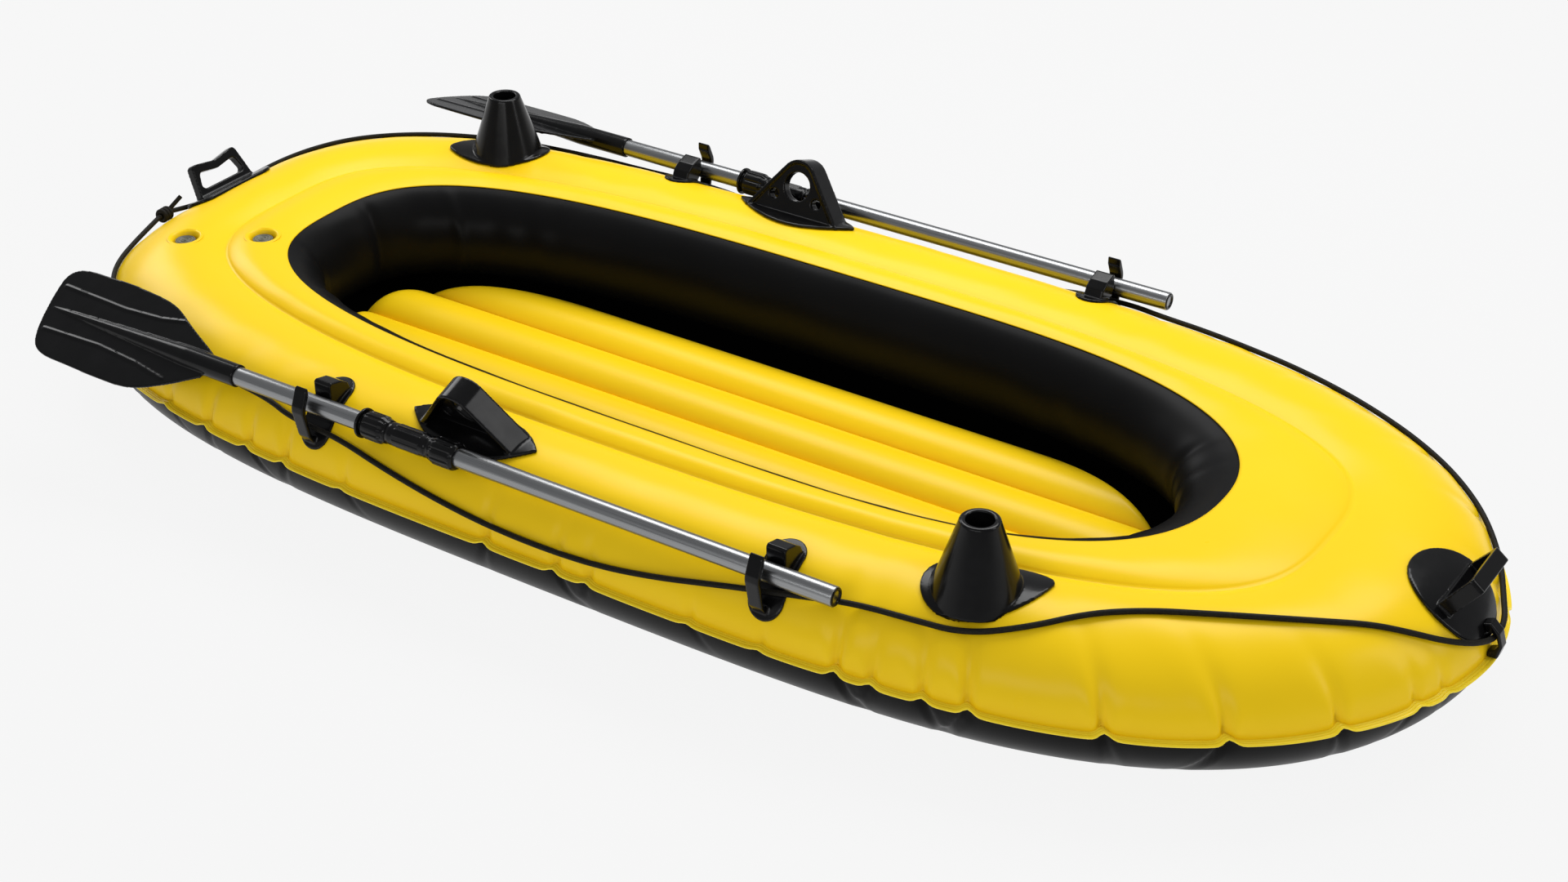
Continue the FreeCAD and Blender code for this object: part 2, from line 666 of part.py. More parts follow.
# Outline of the blade: along the oar, and across it towards the tube.
BLADE_OUTLINE = [
    (-640, 16), (-666, 28), (-696, 41), (-728, 56), (-754, 68), (-783, 75), (-813, 78), (-848, 80), (-883, 80),
    (-918, 79), (-950, 77), (-970, 70), (-980, 57), (-981, 40), (-978, 18), (-972, -9), (-964, -36),
    (-954, -57), (-943, -69), (-930, -75), (-914, -78), (-890, -79), (-855, -80), (-819, -81), (-784, -81),
    (-752, -79), (-724, -71), (-701, -60), (-678, -47), (-655, -32), (-640, -22),
]
SPINE_START = -962.0
SPINE_START_R = 3.0
BLADE_RIB_R = 4.0
BLADE_RIBS = [[(-968, 40), (-840, 37), (-770, 42), (-728, 51)], [(-952, -37), (-840, -33), (-760, -38), (-698, -47)]]
RING_X = -342.0
RING_R = 22.0
COUPLER = {"lower_nut": (-338.0, -294.0), "sleeve": (-318.0, -196.0), "upper_nut": (-220.0, -172.0)}
SLEEVE_R = 16.5
NUT_R = 18.6
SHAFT_END = 439.0
SHAFT_STOP = -258.0           # the two shafts meet either side of a rib inside the sleeve
STOP_RIB = 4.0
STOP_RIB_BORE_R = 10.0
PLUG_CAP = 12.0
PLUG_LENGTH = 34.0
RING_HALF = 2.0
GRIP = (-290.0, -224.0)       # ribbed middle of the coupler's sleeve
RIB_END = 0.15                # share of a ribbed length left plain at each end
GRIP_RIBS = 12
GRIP_RIB = (0.8, 2.0)         # rise and width
NUT_RIBS = 8
NUT_RIB = (1.4, 8.0)
THREAD_RUN = 2.0              # a nut's thread runs on past the end of the sleeve


def on_axis(x, across=0.0, up=0.0):
    return Vector(x, OAR_Y + across, OAR_Z + up)


def make_blade(roll):
    outline = spline_edge([Vector(x, -across, 0) for x, across in BLADE_OUTLINE])
    root = Part.makeLine(outline.lastVertex().Point, outline.firstVertex().Point)
    blade = Part.Face(Part.Wire([outline, root])).extrude(Vector(0, 0, BLADE_THICK))
    blade.translate(Vector(0, 0, -BLADE_THICK / 2))
    socket_r = SHAFT_R + SOCKET_WALL
    socket_start = SOCKET_END - SOCKET_LENGTH
    spine_length = socket_start - SPINE_START
    blade = blade.fuse(Part.makeCone(SPINE_START_R, socket_r, spine_length, Vector(SPINE_START, 0, 0), X_AXIS))
    blade = blade.fuse(Part.makeCylinder(socket_r, SOCKET_LENGTH, Vector(socket_start, 0, 0), X_AXIS))
    for rib in BLADE_RIBS:
        points = [Vector(x, -across, 0) for x, across in rib]
        for start, end in zip(points, points[1:]):
            blade = blade.fuse(cylinder(BLADE_RIB_R, start, end))
        for point in points:
            blade = blade.fuse(Part.makeSphere(BLADE_RIB_R, point))
    blade = blade.cut(Part.makeCylinder(SHAFT_R, SOCKET_DEPTH, Vector(SOCKET_END - SOCKET_DEPTH, 0, 0), X_AXIS))
    blade.rotate(Vector(0, 0, 0), X_AXIS, -roll)
    blade.translate(Vector(0, OAR_Y, OAR_Z))
    return blade


def ribbed_sleeve(span, radius, bore, ribs, rib_size):
    start_x, end_x = span
    rib_rise, rib_width = rib_size
    body = tube(radius, bore, on_axis(start_x), on_axis(end_x))
    length = end_x - start_x
    for i in range(ribs):
        corner = Vector(start_x + length * RIB_END, OAR_Y - rib_width / 2, OAR_Z + radius - 1)
        rib = Part.makeBox(length * (1 - 2 * RIB_END), rib_width, rib_rise + 1, corner)
        rib.rotate(on_axis(0), X_AXIS, 360.0 * i / ribs)
        body = body.fuse(rib)
    return body


def make_coupler():
    """The sleeve that joins the shafts, and the ribbed collar nut that clamps each of them."""
    bore = SHAFT_R + RUNNING_GAP
    sleeve_from, sleeve_to = COUPLER["sleeve"]
    thread_r = SLEEVE_R - GRIP_RIB[0]
    sleeve = ribbed_sleeve(GRIP, SLEEVE_R, bore, GRIP_RIBS, GRIP_RIB)
    sleeve = sleeve.fuse(tube(thread_r, bore, on_axis(sleeve_from), on_axis(sleeve_to)))
    rib_from = SHAFT_STOP - STOP_RIB + 4 * RUNNING_GAP
    sleeve = sleeve.fuse(tube(SHAFT_R + 1, STOP_RIB_BORE_R, on_axis(rib_from), on_axis(SHAFT_STOP)))
    lower = ribbed_sleeve(COUPLER["lower_nut"], NUT_R - NUT_RIB[0], bore, NUT_RIBS, NUT_RIB)
    upper = ribbed_sleeve(COUPLER["upper_nut"], NUT_R - NUT_RIB[0], bore, NUT_RIBS, NUT_RIB)
    nut_bore = thread_r + RUNNING_GAP
    lower_thread = cylinder(nut_bore, on_axis(sleeve_from - THREAD_RUN), on_axis(COUPLER["lower_nut"][1]))
    upper_thread = cylinder(nut_bore, on_axis(COUPLER["upper_nut"][0]), on_axis(sleeve_to + THREAD_RUN))
    return {
        "coupler_sleeve": sleeve,
        "lower_collar_nut": lower.cut(lower_thread),
        "upper_collar_nut": upper.cut(upper_thread),
    }


def make_oar(roll):
    shaft_bore = SHAFT_R - SHAFT_WALL
    cap_start = SHAFT_END - PLUG_CAP
    plug = cylinder(SHAFT_R, on_axis(cap_start), on_axis(SHAFT_END))
    pieces = {
        "blade": make_blade(roll),
        "lower_shaft": tube(SHAFT_R, shaft_bore, on_axis(SOCKET_END - SHAFT_IN_SOCKET),
                            on_axis(SHAFT_STOP - STOP_RIB)),
        "drip_ring": tube(RING_R, SHAFT_R, on_axis(RING_X - RING_HALF), on_axis(RING_X + RING_HALF)),
        "upper_shaft": tube(SHAFT_R, shaft_bore, on_axis(SHAFT_STOP), on_axis(cap_start)),
        "end_plug": plug.fuse(cylinder(shaft_bore, on_axis(SHAFT_END - PLUG_LENGTH), on_axis(cap_start))),
    }
    pieces.update(make_coupler())
    return pieces


# --- grab rope ----------------------------------------------------------------------------------
ARC_SHARE = 0.45              # part of the shorter run that a corner's arc takes
KNOT_TURNS = 3
KNOT_PITCH = 7.0
KNOT_RING_R = 7.8
KNOT_TAIL = (8.0, 32.0, 22.0)    # the loose end, from the knot's middle
# From the knot beside the stern handle along the starboard side, through the bow eyelet and back to port.
ROPE_ROUTE = [
    (-1076, -144, 193), (-1067, -207, 180), (-1041, -276, 174), (-992, -332, 175), (-920, -378, 178),
    (-829, -414, 179), (-733, -438, 180), (-630, -454, 180), (-537, -464, 179), (-481, -479, 173),
    (-391, -483, 172), (-300, -491, 156), (-205, -498, 144), (-110, -501, 135), (-10, -502, 133),
    (85, -500, 137), (170, -495, 149), (240, -488, 162), (289, -484, 172), (379, -470, 184),
    (448, -452, 189), (527, -443, 190), (601, -432, 189), (669, -393, 203), (723, -341, 214),
    (780, -299, 216), (846, -264, 216), (912, -229, 215), (969, -192, 210), (1020, -152, 201),
    (1061, -121, 186), (1091, -92, 169), (1115, -61, 155), (1128, -29, 143), (1133, 3, 135),
    (1130, 43, 135), (1111, 87, 141), (1089, 135, 153), (1054, 192, 162), (1011, 250, 164),
    (957, 294, 174), (896, 328, 183), (830, 360, 187), (754, 388, 191), (674, 409, 194),
    (595, 424, 195), (515, 437, 195), (436, 453, 189), (379, 470, 184), (289, 484, 172),
    (240, 488, 162), (170, 495, 149), (85, 500, 137), (-10, 502, 133), (-110, 501, 135),
    (-205, 498, 144), (-300, 491, 156), (-391, 483, 172), (-481, 479, 173), (-537, 466, 177),
    (-629, 451, 183), (-728, 430, 188), (-819, 401, 192), (-902, 362, 194), (-967, 315, 195),
    (-1016, 263, 195), (-1050, 206, 192), (-1073, 148, 186), (-1086, 93, 178), (-1091, 43, 174),
    (-1092, 0, 173), (-1090, -46, 174), (-1087, -88, 183), (-1081, -114, 191),
]


def rope_path(points):
    """Straight runs joined by tangent arcs; returns the edges and the arcs' radii."""
    edges = []
    radii = []
    last = points[0]
    for before, here, after in zip(points, points[1:], points[2:]):
        inward = (before - here).normalize()
        outward = (after - here).normalize()
        half_turn = (math.pi - inward.getAngle(outward)) / 2
        reach = ARC_SHARE * min((before - here).Length, (after - here).Length)
        radius = reach / math.tan(half_turn)
        start = here + inward * reach
        end = here + outward * reach
        bulge = radius / math.cos(half_turn) - radius
        middle = here + (inward + outward).normalize() * bulge
        edges.append(Part.makeLine(last, start))
        edges.append(Part.Arc(start, middle, end).toShape())
        radii.append(radius)
        last = end
    edges.append(Part.makeLine(last, points[-1]))
    return edges, radii


def make_rope():
    points = [Vector(*p) for p in ROPE_ROUTE]
    edges, radii = rope_path(points)
    path = Part.Wire(edges)
    circle = Part.makeCircle(ROPE_R, points[0], points[1] - points[0])
    rope = path.makePipeShell([Part.Wire(circle)], True, False)
    section = math.pi * ROPE_R ** 2
    print("rope radii", " ".join(f"{r:.0f}" for r in radii))
    print(f"rope length {path.Length:.0f}, volume {rope.Volume:.0f}, section by length {section * path.Length:.0f}")
    return rope


def make_knot():
    """Three turns round the joined ends, and a short loose end."""
    start = Vector(*ROPE_ROUTE[-1])
    end = Vector(*ROPE_ROUTE[0])
    axis = (end - start).normalize()
    middle = (start + end) / 2
    knot = cylinder(ROPE_R, start, end)
    for i in range(KNOT_TURNS):
        shift = (i - (KNOT_TURNS - 1) / 2) * KNOT_PITCH
        knot = knot.fuse(Part.makeTorus(KNOT_RING_R, ROPE_R, middle + axis * shift, axis))
    return knot.fuse(cylinder(ROPE_R * 0.9, middle, middle + Vector(*KNOT_TAIL)))


# --- assembly -----------------------------------------------------------------------------------
def make_pieces():
    pieces = make_hull_film()
    pieces.update(make_floor())
    oarlock = make_oarlock()
    clips = {where: make_clip(x) for where, x in CLIP_X.items()}
    for name, side in SIDES.items():
        pieces[f"{name}_oarlock"] = to_side(oarlock, side)
        pieces[f"{name}_rod_holder"] = to_side(make_rod_holder(name), side)
        for where, clip in clips.items():
            pieces[f"{name}_{where}_clip"] = to_side(clip, side)
        for piece, shape in make_oar(BLADE_ROLL[name]).items():
            pieces[f"{name}_{piece}"] = to_side(shape, side)
    pieces["bow_grab_handle"] = make_bow_handle()
    pieces["bow_cleat"] = make_bow_cleat(pieces["bow_grab_handle"])
    pieces["stern_grab_handle"] = make_stern_handle()
    for name, place in VALVES.items():
        pieces[f"{name}_valve_well"], pieces[f"{name}_valve_cap"] = make_valve(place)
        skin = VALVE_SKINS[name]
        pieces[skin] = pieces[skin].cut(valve_hole(place))
    pieces["grab_rope"] = make_rope()
    pieces["grab_rope_knot"] = make_knot()
    return pieces


os.makedirs("parts", exist_ok=True)
for name, shape in make_pieces().items():
    shape.translate(Vector(-MIDDLE_X, 0, 0))
    state = "valid" if shape.isValid() else "INVALID"
    print(f"{name:28s} {state} solids {len(shape.Solids)} volume {shape.Volume / 1000:.1f} cm3")
    shape.exportStep(f"parts/{name}.step")
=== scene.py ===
import json
import math

import bmesh
import bpy
import numpy as np
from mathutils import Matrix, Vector


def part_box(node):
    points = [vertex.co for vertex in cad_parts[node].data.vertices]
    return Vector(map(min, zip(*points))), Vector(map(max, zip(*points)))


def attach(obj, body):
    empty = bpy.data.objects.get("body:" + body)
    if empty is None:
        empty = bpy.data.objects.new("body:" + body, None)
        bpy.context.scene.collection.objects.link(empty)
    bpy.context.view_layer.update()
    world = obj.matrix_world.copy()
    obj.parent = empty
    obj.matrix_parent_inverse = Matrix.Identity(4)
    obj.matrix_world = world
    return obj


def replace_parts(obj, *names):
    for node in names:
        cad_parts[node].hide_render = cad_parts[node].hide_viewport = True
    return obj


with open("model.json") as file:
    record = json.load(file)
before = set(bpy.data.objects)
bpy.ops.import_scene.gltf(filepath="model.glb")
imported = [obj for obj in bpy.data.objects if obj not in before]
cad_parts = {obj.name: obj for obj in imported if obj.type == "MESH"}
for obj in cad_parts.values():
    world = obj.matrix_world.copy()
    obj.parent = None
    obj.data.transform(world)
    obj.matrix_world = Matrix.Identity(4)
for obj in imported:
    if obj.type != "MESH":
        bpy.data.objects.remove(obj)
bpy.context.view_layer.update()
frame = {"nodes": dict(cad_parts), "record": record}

NODES = frame["nodes"]
MM = 0.001
SHIFT = -10.0                    # along x from the drawing's origin to the frame's, in millimetres


# --- plan curves and sections of the hull, in millimetres ----------------------------------------
LONGEST = 800.0                  # no section of the hull reaches this far from where it starts
HALVINGS = 40


class PlanCurve:
    """Closed curve seen from above: two power curves that share their widest point."""

    def __init__(self, stern_x, bow_x, widest_x, half_width, stern_powers, bow_powers):
        self.widest_x = widest_x
        self.half_width = half_width
        self.stern = (widest_x - stern_x, *stern_powers)
        self.bow = (bow_x - widest_x, *bow_powers)

    def level(self, x, y):
        """Below zero inside the curve, above zero outside it."""
        to_bow = x >= self.widest_x
        length, along, across = (np.where(to_bow, b, s) for b, s in zip(self.bow, self.stern))
        return (np.abs(x - self.widest_x) / length) ** along + np.abs(y / self.half_width) ** across - 1

    def distance(self, start_x, heading):
        """Way from (start_x, 0) to the curve along each heading, found by halving."""
        near = np.zeros_like(start_x)
        far = np.full_like(start_x, LONGEST)
        for _ in range(HALVINGS):
            middle = (near + far) / 2
            inside = self.level(start_x + np.cos(heading) * middle, np.sin(heading) * middle) < 0
            near = np.where(inside, middle, near)
            far = np.where(inside, far, middle)
        return near


SEAM = PlanCurve(-1112, 1127, -4, 500, (3.9, 3.25), (3.75, 1.8))
GROOVE = PlanCurve(-935, 899, -105, 330, (2.35, 3.45), (2.65, 3.1))
RIM = PlanCurve(-833, 746, 37, 276, (3.4, 2.9), (3.4, 2.3))
WALL = PlanCurve(-795, 668, 14, 222, (3.0, 2.6), (3.3, 2.3))
BOW_FOCUS = 360.0                # the upright sections fan out from here round the bow
STERN_FOCUS = -500.0             # and from here round the stern
GROOVE_ANGLE = 117.5             # degrees round the outer chamber, from seam to groove
RISE = 106.0                     # half the height of the outer chamber
RIM_HEIGHT = 208.0               # where the inner chamber's top meets its wall
CROWN_HEIGHT = 214.0             # crest of the inner chamber's top
CROWN_AT = 0.5                   # where that crest is, as a share of the way from groove to rim
FILM = 1.2                       # thickness
STATION_STEP = 5.0               # from one upright section to the next, along the seam
# Round the hull in four legs: bow, port side, stern, starboard side. Heading and start of the section
# at which each leg begins, and of the last one again at its end.
LEG_HEADINGS = np.radians([-90, 90, 90, 270, 270])
LEG_STARTS = np.array([BOW_FOCUS, BOW_FOCUS, STERN_FOCUS, STERN_FOCUS, BOW_FOCUS])
LEGS = np.arange(len(LEG_STARTS))
DENSE_COUNT = 8001


class Ring:
    """Upright sections all round the hull, evenly spaced along the seam."""

    def __init__(self, step):
        dense = np.linspace(0, LEGS[-1], DENSE_COUNT)
        heading = np.interp(dense, LEGS, LEG_HEADINGS)
        start_x = np.interp(dense, LEGS, LEG_STARTS)
        seam = SEAM.distance(start_x, heading)
        x, y = start_x + np.cos(heading) * seam, np.sin(heading) * seam
        run = np.concatenate([[0], np.cumsum(np.hypot(np.diff(x), np.diff(y)))])
        self.length = run[-1]
        count = int(self.length / step)
        self.run = np.arange(count) * self.length / count
        where = np.interp(self.run, run, dense)
        self.heading = np.interp(where, LEGS, LEG_HEADINGS)
        self.start_x = np.interp(where, LEGS, LEG_STARTS)
        groove = GROOVE.distance(self.start_x, self.heading)
        self.base = groove
        self.seam = SEAM.distance(self.start_x, self.heading) - groove
        self.rim = RIM.distance(self.start_x, self.heading) - groove
        self.wall = WALL.distance(self.start_x, self.heading) - groove
        self.reach = self.seam / (1 - math.cos(math.radians(GROOVE_ANGLE)))
        self.middle = self.seam - self.reach
        self.seam_xy = np.stack([self.start_x + np.cos(self.heading) * (groove + self.seam),
                                 np.sin(self.heading) * (groove + self.seam)], 1)

    def place(self, across, height):
        """Rows of (across, height) arrays, one column a station, as points in the frame, in metres."""
        out = self.base + across
        x = self.start_x + np.cos(self.heading) * out + SHIFT
        y = np.sin(self.heading) * out
        return np.stack([x, y, np.broadcast_to(height, x.shape)], -1) * MM

    def run_at(self, x, y):
        """Run along the seam of the point nearest to (x, y)."""
        gap = np.hypot(self.seam_xy[:, 0] - x, self.seam_xy[:, 1] - y)
        return self.run[int(np.argmin(gap))]

    def gap(self, run):
        """Signed distance along the seam from every station to run."""
        half = self.length / 2
        return (self.run - run + half) % self.length - half


RING = Ring(STATION_STEP)

# --- puckers along the welded seam ---------------------------------------------------------------
# Place beside the seam (x, y), full depth and reach away from the seam. They run from the starboard
# quarter forward round the bow, and back along the port side round the stern.
PUCKER_PLACES = [
    (-990, -290, 5, 70), (-930, -370, 4, 60), (-850, -425, 5, 75), (-745, -462, 4, 60), (-649, -475, 6, 85),
    (-561, -481, 6, 80), (-485, -485, 6, 85), (-370, -490, 3, 60), (-109, -494, 6, 85), (10, -498, 6, 80),
    (63, -493, 5, 70), (230, -492, 3, 60), (340, -489, 3, 55), (448, -485, 8, 150), (497, -481, 6, 90),
    (570, -468, 7, 120), (629, -464, 8, 150), (784, -405, 9, 110), (914, -335, 9, 100), (1019, -244, 8, 90),
    (1085, -150, 5, 60), (1111, -110, 4, 50), (1115, 99, 8, 80), (1118, 20, 4, 45),
    (1040, 215, 8, 90), (950, 305, 8, 100), (850, 372, 7, 90), (745, 425, 8, 110), (640, 455, 6, 90),
    (560, 470, 6, 100), (450, 485, 7, 120), (330, 490, 3, 55), (190, 494, 4, 70), (60, 495, 6, 80),
    (-30, 496, 5, 80), (-210, 495, 3, 60), (-350, 490, 5, 70), (-470, 487, 6, 80), (-560, 482, 6, 80),
    (-655, 474, 6, 85), (-760, 460, 4, 60), (-850, 425, 6, 80), (-935, 370, 5, 70), (-1000, 285, 6, 80),
    (-1060, 200, 5, 70), (-1090, 110, 6, 80), (-1102, 10, 5, 70), (-1095, -90, 6, 80), (-1060, -195, 5, 70),
]
PUCKERS = [(RING.run_at(x, y), depth, reach) for x, y, depth, reach in PUCKER_PLACES]
PUCKER_WIDTH = 3.6               # at the seam
PUCKER_WIDENING = 0.10           # for each millimetre away from the seam
PUCKER_START = 0.55              # depth right at the seam, as a share of the full depth
PUCKER_FULL_AT = 12.0            # distance from the seam at which it reaches its full depth
FADE_SHARE, FADE_POWER = 0.8, 1.6    # how it dies away towards its reach
SWELL_HEIGHT = 0.24              # of the film beside a pucker, as a share of its depth
SWELL_PLACE = 2.6                # in pucker widths
SWELL_WIDTH = 1.7                # in pucker widths
SEAM_IN = 0.55                   # how far the seam follows a pucker inward, as a share of its depth
SEAM_RISE = 0.75                 # and upward
SEAM_IN_WIDTH, SEAM_RISE_WIDTH = 8.0, 10.0
BROAD_RISE, BROAD_WIDTH = 0.35, 32.0    # a lower, wider rise under each pucker
SEAM_SAG = 1.0                   # of the slack seam between puckers


def pucker_depth(away, lean=0.0):
    """How far the film is drawn in, for rows at the given distances from the seam."""
    away = np.asarray(away, float)[:, None]
    depth = np.zeros((away.shape[0], len(RING.run)))
    width = PUCKER_WIDTH + PUCKER_WIDENING * away
    for i, (run, deep, reach) in enumerate(PUCKERS):
        side = 1 if i % 2 else -1
        across = RING.gap(run)[None, :] - lean * side * away
        start = PUCKER_START + (1 - PUCKER_START) * np.minimum(away / PUCKER_FULL_AT, 1)
        fade = np.exp(-(away / (FADE_SHARE * reach)) ** FADE_POWER) * start
        valley = np.exp(-(across / width) ** 2)
        swell = np.exp(-((across - SWELL_PLACE * width) / (SWELL_WIDTH * width)) ** 2)
        swell = swell + np.exp(-((across + SWELL_PLACE * width) / (SWELL_WIDTH * width)) ** 2)
        depth += deep * fade * (valley - SWELL_HEIGHT * swell)
    return depth


def seam_shift():
    """Outward and upward move of the seam itself: drawn in and up at each pucker, slack between."""
    inward = np.zeros(len(RING.run))
    upward = np.zeros(len(RING.run))
    for run, deep, _ in PUCKERS:
        gap = RING.gap(run)
        inward += SEAM_IN * deep * np.exp(-(gap / SEAM_IN_WIDTH) ** 2)
        broad = BROAD_RISE * np.exp(-(np.abs(gap) / BROAD_WIDTH))
        upward += SEAM_RISE * deep * (np.exp(-(gap / SEAM_RISE_WIDTH) ** 2) + broad)
    return -inward, upward - SEAM_SAG


SEAM_OUT, SEAM_UP = seam_shift()

RIPPLE_COUNT = 14
WAVES_ROUND = (9, 42)            # fewest and most waves round the hull
WAVE_ACROSS = (60, 200)          # shortest and longest half wave across the film


def ripple(away, seed, size):
    """Slow, faint unevenness of the inflated film: waves that run round the hull and across the film."""
    rng = np.random.default_rng(seed)
    away = np.asarray(away, float)[:, None]
    total = np.zeros((away.shape[0], len(RING.run)))
    for _ in range(RIPPLE_COUNT):
        waves = rng.integers(*WAVES_ROUND)
        phase, tilt = rng.uniform(0, 2 * math.pi, 2)
        across = rng.uniform(*WAVE_ACROSS)
        turn = 2 * math.pi * waves * RING.run / RING.length
        total += np.cos(turn + phase) * np.cos(away / across * math.pi + tilt)
    return total * size / RIPPLE_COUNT ** 0.5


# --- mesh building -------------------------------------------------------------------------------
def make_object(name, vertices, faces, body="hull"):
    """A smooth closed piece that rides on body, with its faces turned outward."""
    mesh = bpy.data.meshes.new(name)
    mesh.from_pydata([tuple(v) for v in vertices], [], faces)
    mesh.validate()
    shell = bmesh.new()
    shell.from_mesh(mesh)
    bmesh.ops.recalc_face_normals(shell, faces=shell.faces)
    shell.to_mesh(mesh)
    shell.free()
    mesh.polygons.foreach_set("use_smooth", [True] * len(mesh.polygons))
    obj = bpy.data.objects.new(name, mesh)
    bpy.context.scene.collection.objects.link(obj)
    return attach(obj, body)


def grid_faces(rows, columns, closed_rows=False):
    """Quads over a grid whose columns close into a ring, and its rows too if asked."""
    faces = []
    for r in range(rows if closed_rows else rows - 1):
        for c in range(columns):
            here, below = r * columns, (r + 1) % rows * columns
            after = (c + 1) % columns
            faces.append((here + c, here + after, below + after, below + c))
    return faces


def ring_film(name, points):
    """A film all round the hull from rows of points, closed through its thickness."""
    rows, columns = points.shape[:2]
    along = np.roll(points, -1, 1) - np.roll(points, 1, 1)
    down = np.gradient(points, axis=0)
    normal = np.cross(along, down)
    normal /= np.linalg.norm(normal, axis=-1, keepdims=True)
    inner = points + normal * FILM * MM
    loop = np.concatenate([points, inner[::-1]])
    return make_object(name, loop.reshape(-1, 3), grid_faces(2 * rows, columns, closed_rows=True))


def curve_rows(points, fractions):
    """Catmull-Rom rows through a few (across, height) rows; fractions run from 0 to 1 by chord length."""
    points = np.asarray(points, float)
    step = np.linalg.norm(np.diff(points, axis=0), axis=1).mean(1)
    knots = np.concatenate([[0], np.cumsum(step)]) / step.sum()
    slope = np.gradient(points, knots, axis=0, edge_order=1)
    rows = []
    for f in fractions:
        i = min(int(np.searchsorted(knots, f, "right")) - 1, len(knots) - 2)
        h = knots[i + 1] - knots[i]
        t = (f - knots[i]) / h
        rows.append((2 * t ** 3 - 3 * t ** 2 + 1) * points[i] + (t ** 3 - 2 * t ** 2 + t) * h * slope[i]
                    + (3 * t ** 2 - 2 * t ** 3) * points[i + 1] + (t ** 3 - t ** 2) * h * slope[i + 1])
    return np.array(rows)


def tube_rows(angles, inset):
    """Rows round the outer chamber at the given angles; inset moves each point into the chamber."""
    turn = np.radians(angles)[:, None]
    across = RING.middle + RING.reach * np.cos(turn)
    height = RISE + RISE * np.sin(turn)
    nx, nz = np.cos(turn) / RING.reach, np.sin(turn) / RISE
    size = np.hypot(nx, nz)
    return across - inset * nx / size, height - inset * nz / size


def smooth_step(x):
    x = np.clip(x, 0, 1)
    return x * x * (3 - 2 * x)


def tube_faces(rows, columns):
    """Faces of a closed tube over a grid and two more points after it, one for each end."""
    faces = [face[::-1] for face in grid_faces(rows, columns)]
    first, last = rows * columns, rows * columns + 1
    for c in range(columns):
        after = (c + 1) % columns
        faces.append((first, after, c))
        faces.append((last, first - columns + c, first - columns + after))
    return faces


def lathe(name, profile, at, axis, body, turns=72, ribs=0, rib_depth=0.0, ribbed=(0, 0)):
    """A closed turned piece; profile runs from its top on the axis to its foot there, as (radius, height).
    Between the two heights in ribbed, ribs flat-bottomed grooves run along it."""
    rows = []
    angle = np.arange(turns) * 2 * math.pi / turns
    groove = rib_depth * np.clip(1.6 * np.cos(angle * ribs) - 0.5, 0, 1)
    for radius, height in profile[1:-1]:
        if ribbed[0] < height < ribbed[1]:
            radius = radius - groove
        rows.append(np.stack([radius * np.cos(angle), radius * np.sin(angle), np.full(turns, height)], 1))
    vertices = np.concatenate([*rows, [[0, 0, profile[0][1]], [0, 0, profile[-1][1]]]]) * MM
    turn = np.array(Vector(axis).to_track_quat("Z", "Y").to_matrix())
    return make_object(name, vertices @ turn.T + np.asarray(at), tube_faces(len(rows), turns), body)


def fillet(profile, rounds=2):
    """Corner-cutting that rounds a turned profile and keeps its two ends."""
    points = [np.array(p, float) for p in profile]
    for _ in range(rounds):
        cut = [points[0]]
        for a, b in zip(points, points[1:]):
            cut += [a * 0.75 + b * 0.25, a * 0.25 + b * 0.75]
        points = cut + [points[-1]]
    return [tuple(p) for p in points]


# --- valves --------------------------------------------------------------------------------------
# Turned profiles as (radius, height), with heights from the film.
CUP_PROFILE = [
    (0, -13.0), (18.6, -13.0), (19.2, -9), (20.0, -5), (21.6, -1.6), (23.6, 0.3), (26.0, 0.7),
    (28.6, 0.5), (29.6, -0.5), (28.0, -2.0), (24.0, -4.0), (20.8, -15.0), (0, -15.0),
]
DISC_PROFILE = [
    (0, -4.0), (2.6, -3.9), (3.2, -5.6), (5.0, -5.8), (5.6, -4.4), (7.4, -4.3), (8.0, -5.8), (10.2, -6.0),
    (10.8, -4.8), (12.6, -4.7), (13.2, -6.0), (14.2, -6.0), (14.7, -4.9), (15.9, -5.2), (16.3, -7.0),
    (16.0, -9.0), (0, -9.0),
]
VALVE_HOLE = 25.0                # radius
CUTTER_REACH = 40.0              # above and below the film
VALVE_LIFT = 0.3                 # of the rim above the film


def film_plane(points, middle, spread):
    """Height of the film at middle and its upward normal there, from the points within spread."""
    flat = points.reshape(-1, 3)
    near = flat[np.linalg.norm(flat[:, :2] - middle[:2], axis=1) < spread * MM]
    slope = np.linalg.lstsq(np.c_[near[:, :2] - middle[:2], np.ones(len(near))], near[:, 2], rcond=None)[0]
    normal = np.array([-slope[0], -slope[1], 1.0])
    return slope[2], normal / np.linalg.norm(normal)


def cut_hole(film, at, axis):
    profile = [(0, CUTTER_REACH), (VALVE_HOLE, CUTTER_REACH), (VALVE_HOLE, -CUTTER_REACH), (0, -CUTTER_REACH)]
    cutter = lathe("cutter", profile, at, axis, "hull")
    hole = film.modifiers.new("valve hole", "BOOLEAN")
    hole.operation = "DIFFERENCE"
    hole.solver = "MANIFOLD"
    hole.object = cutter
    bpy.context.view_layer.update()
    graph = bpy.context.evaluated_depsgraph_get()
    cut = bpy.data.meshes.new_from_object(film.evaluated_get(graph))
    film.modifiers.clear()
    film.data = cut
    bpy.data.objects.remove(cutter)


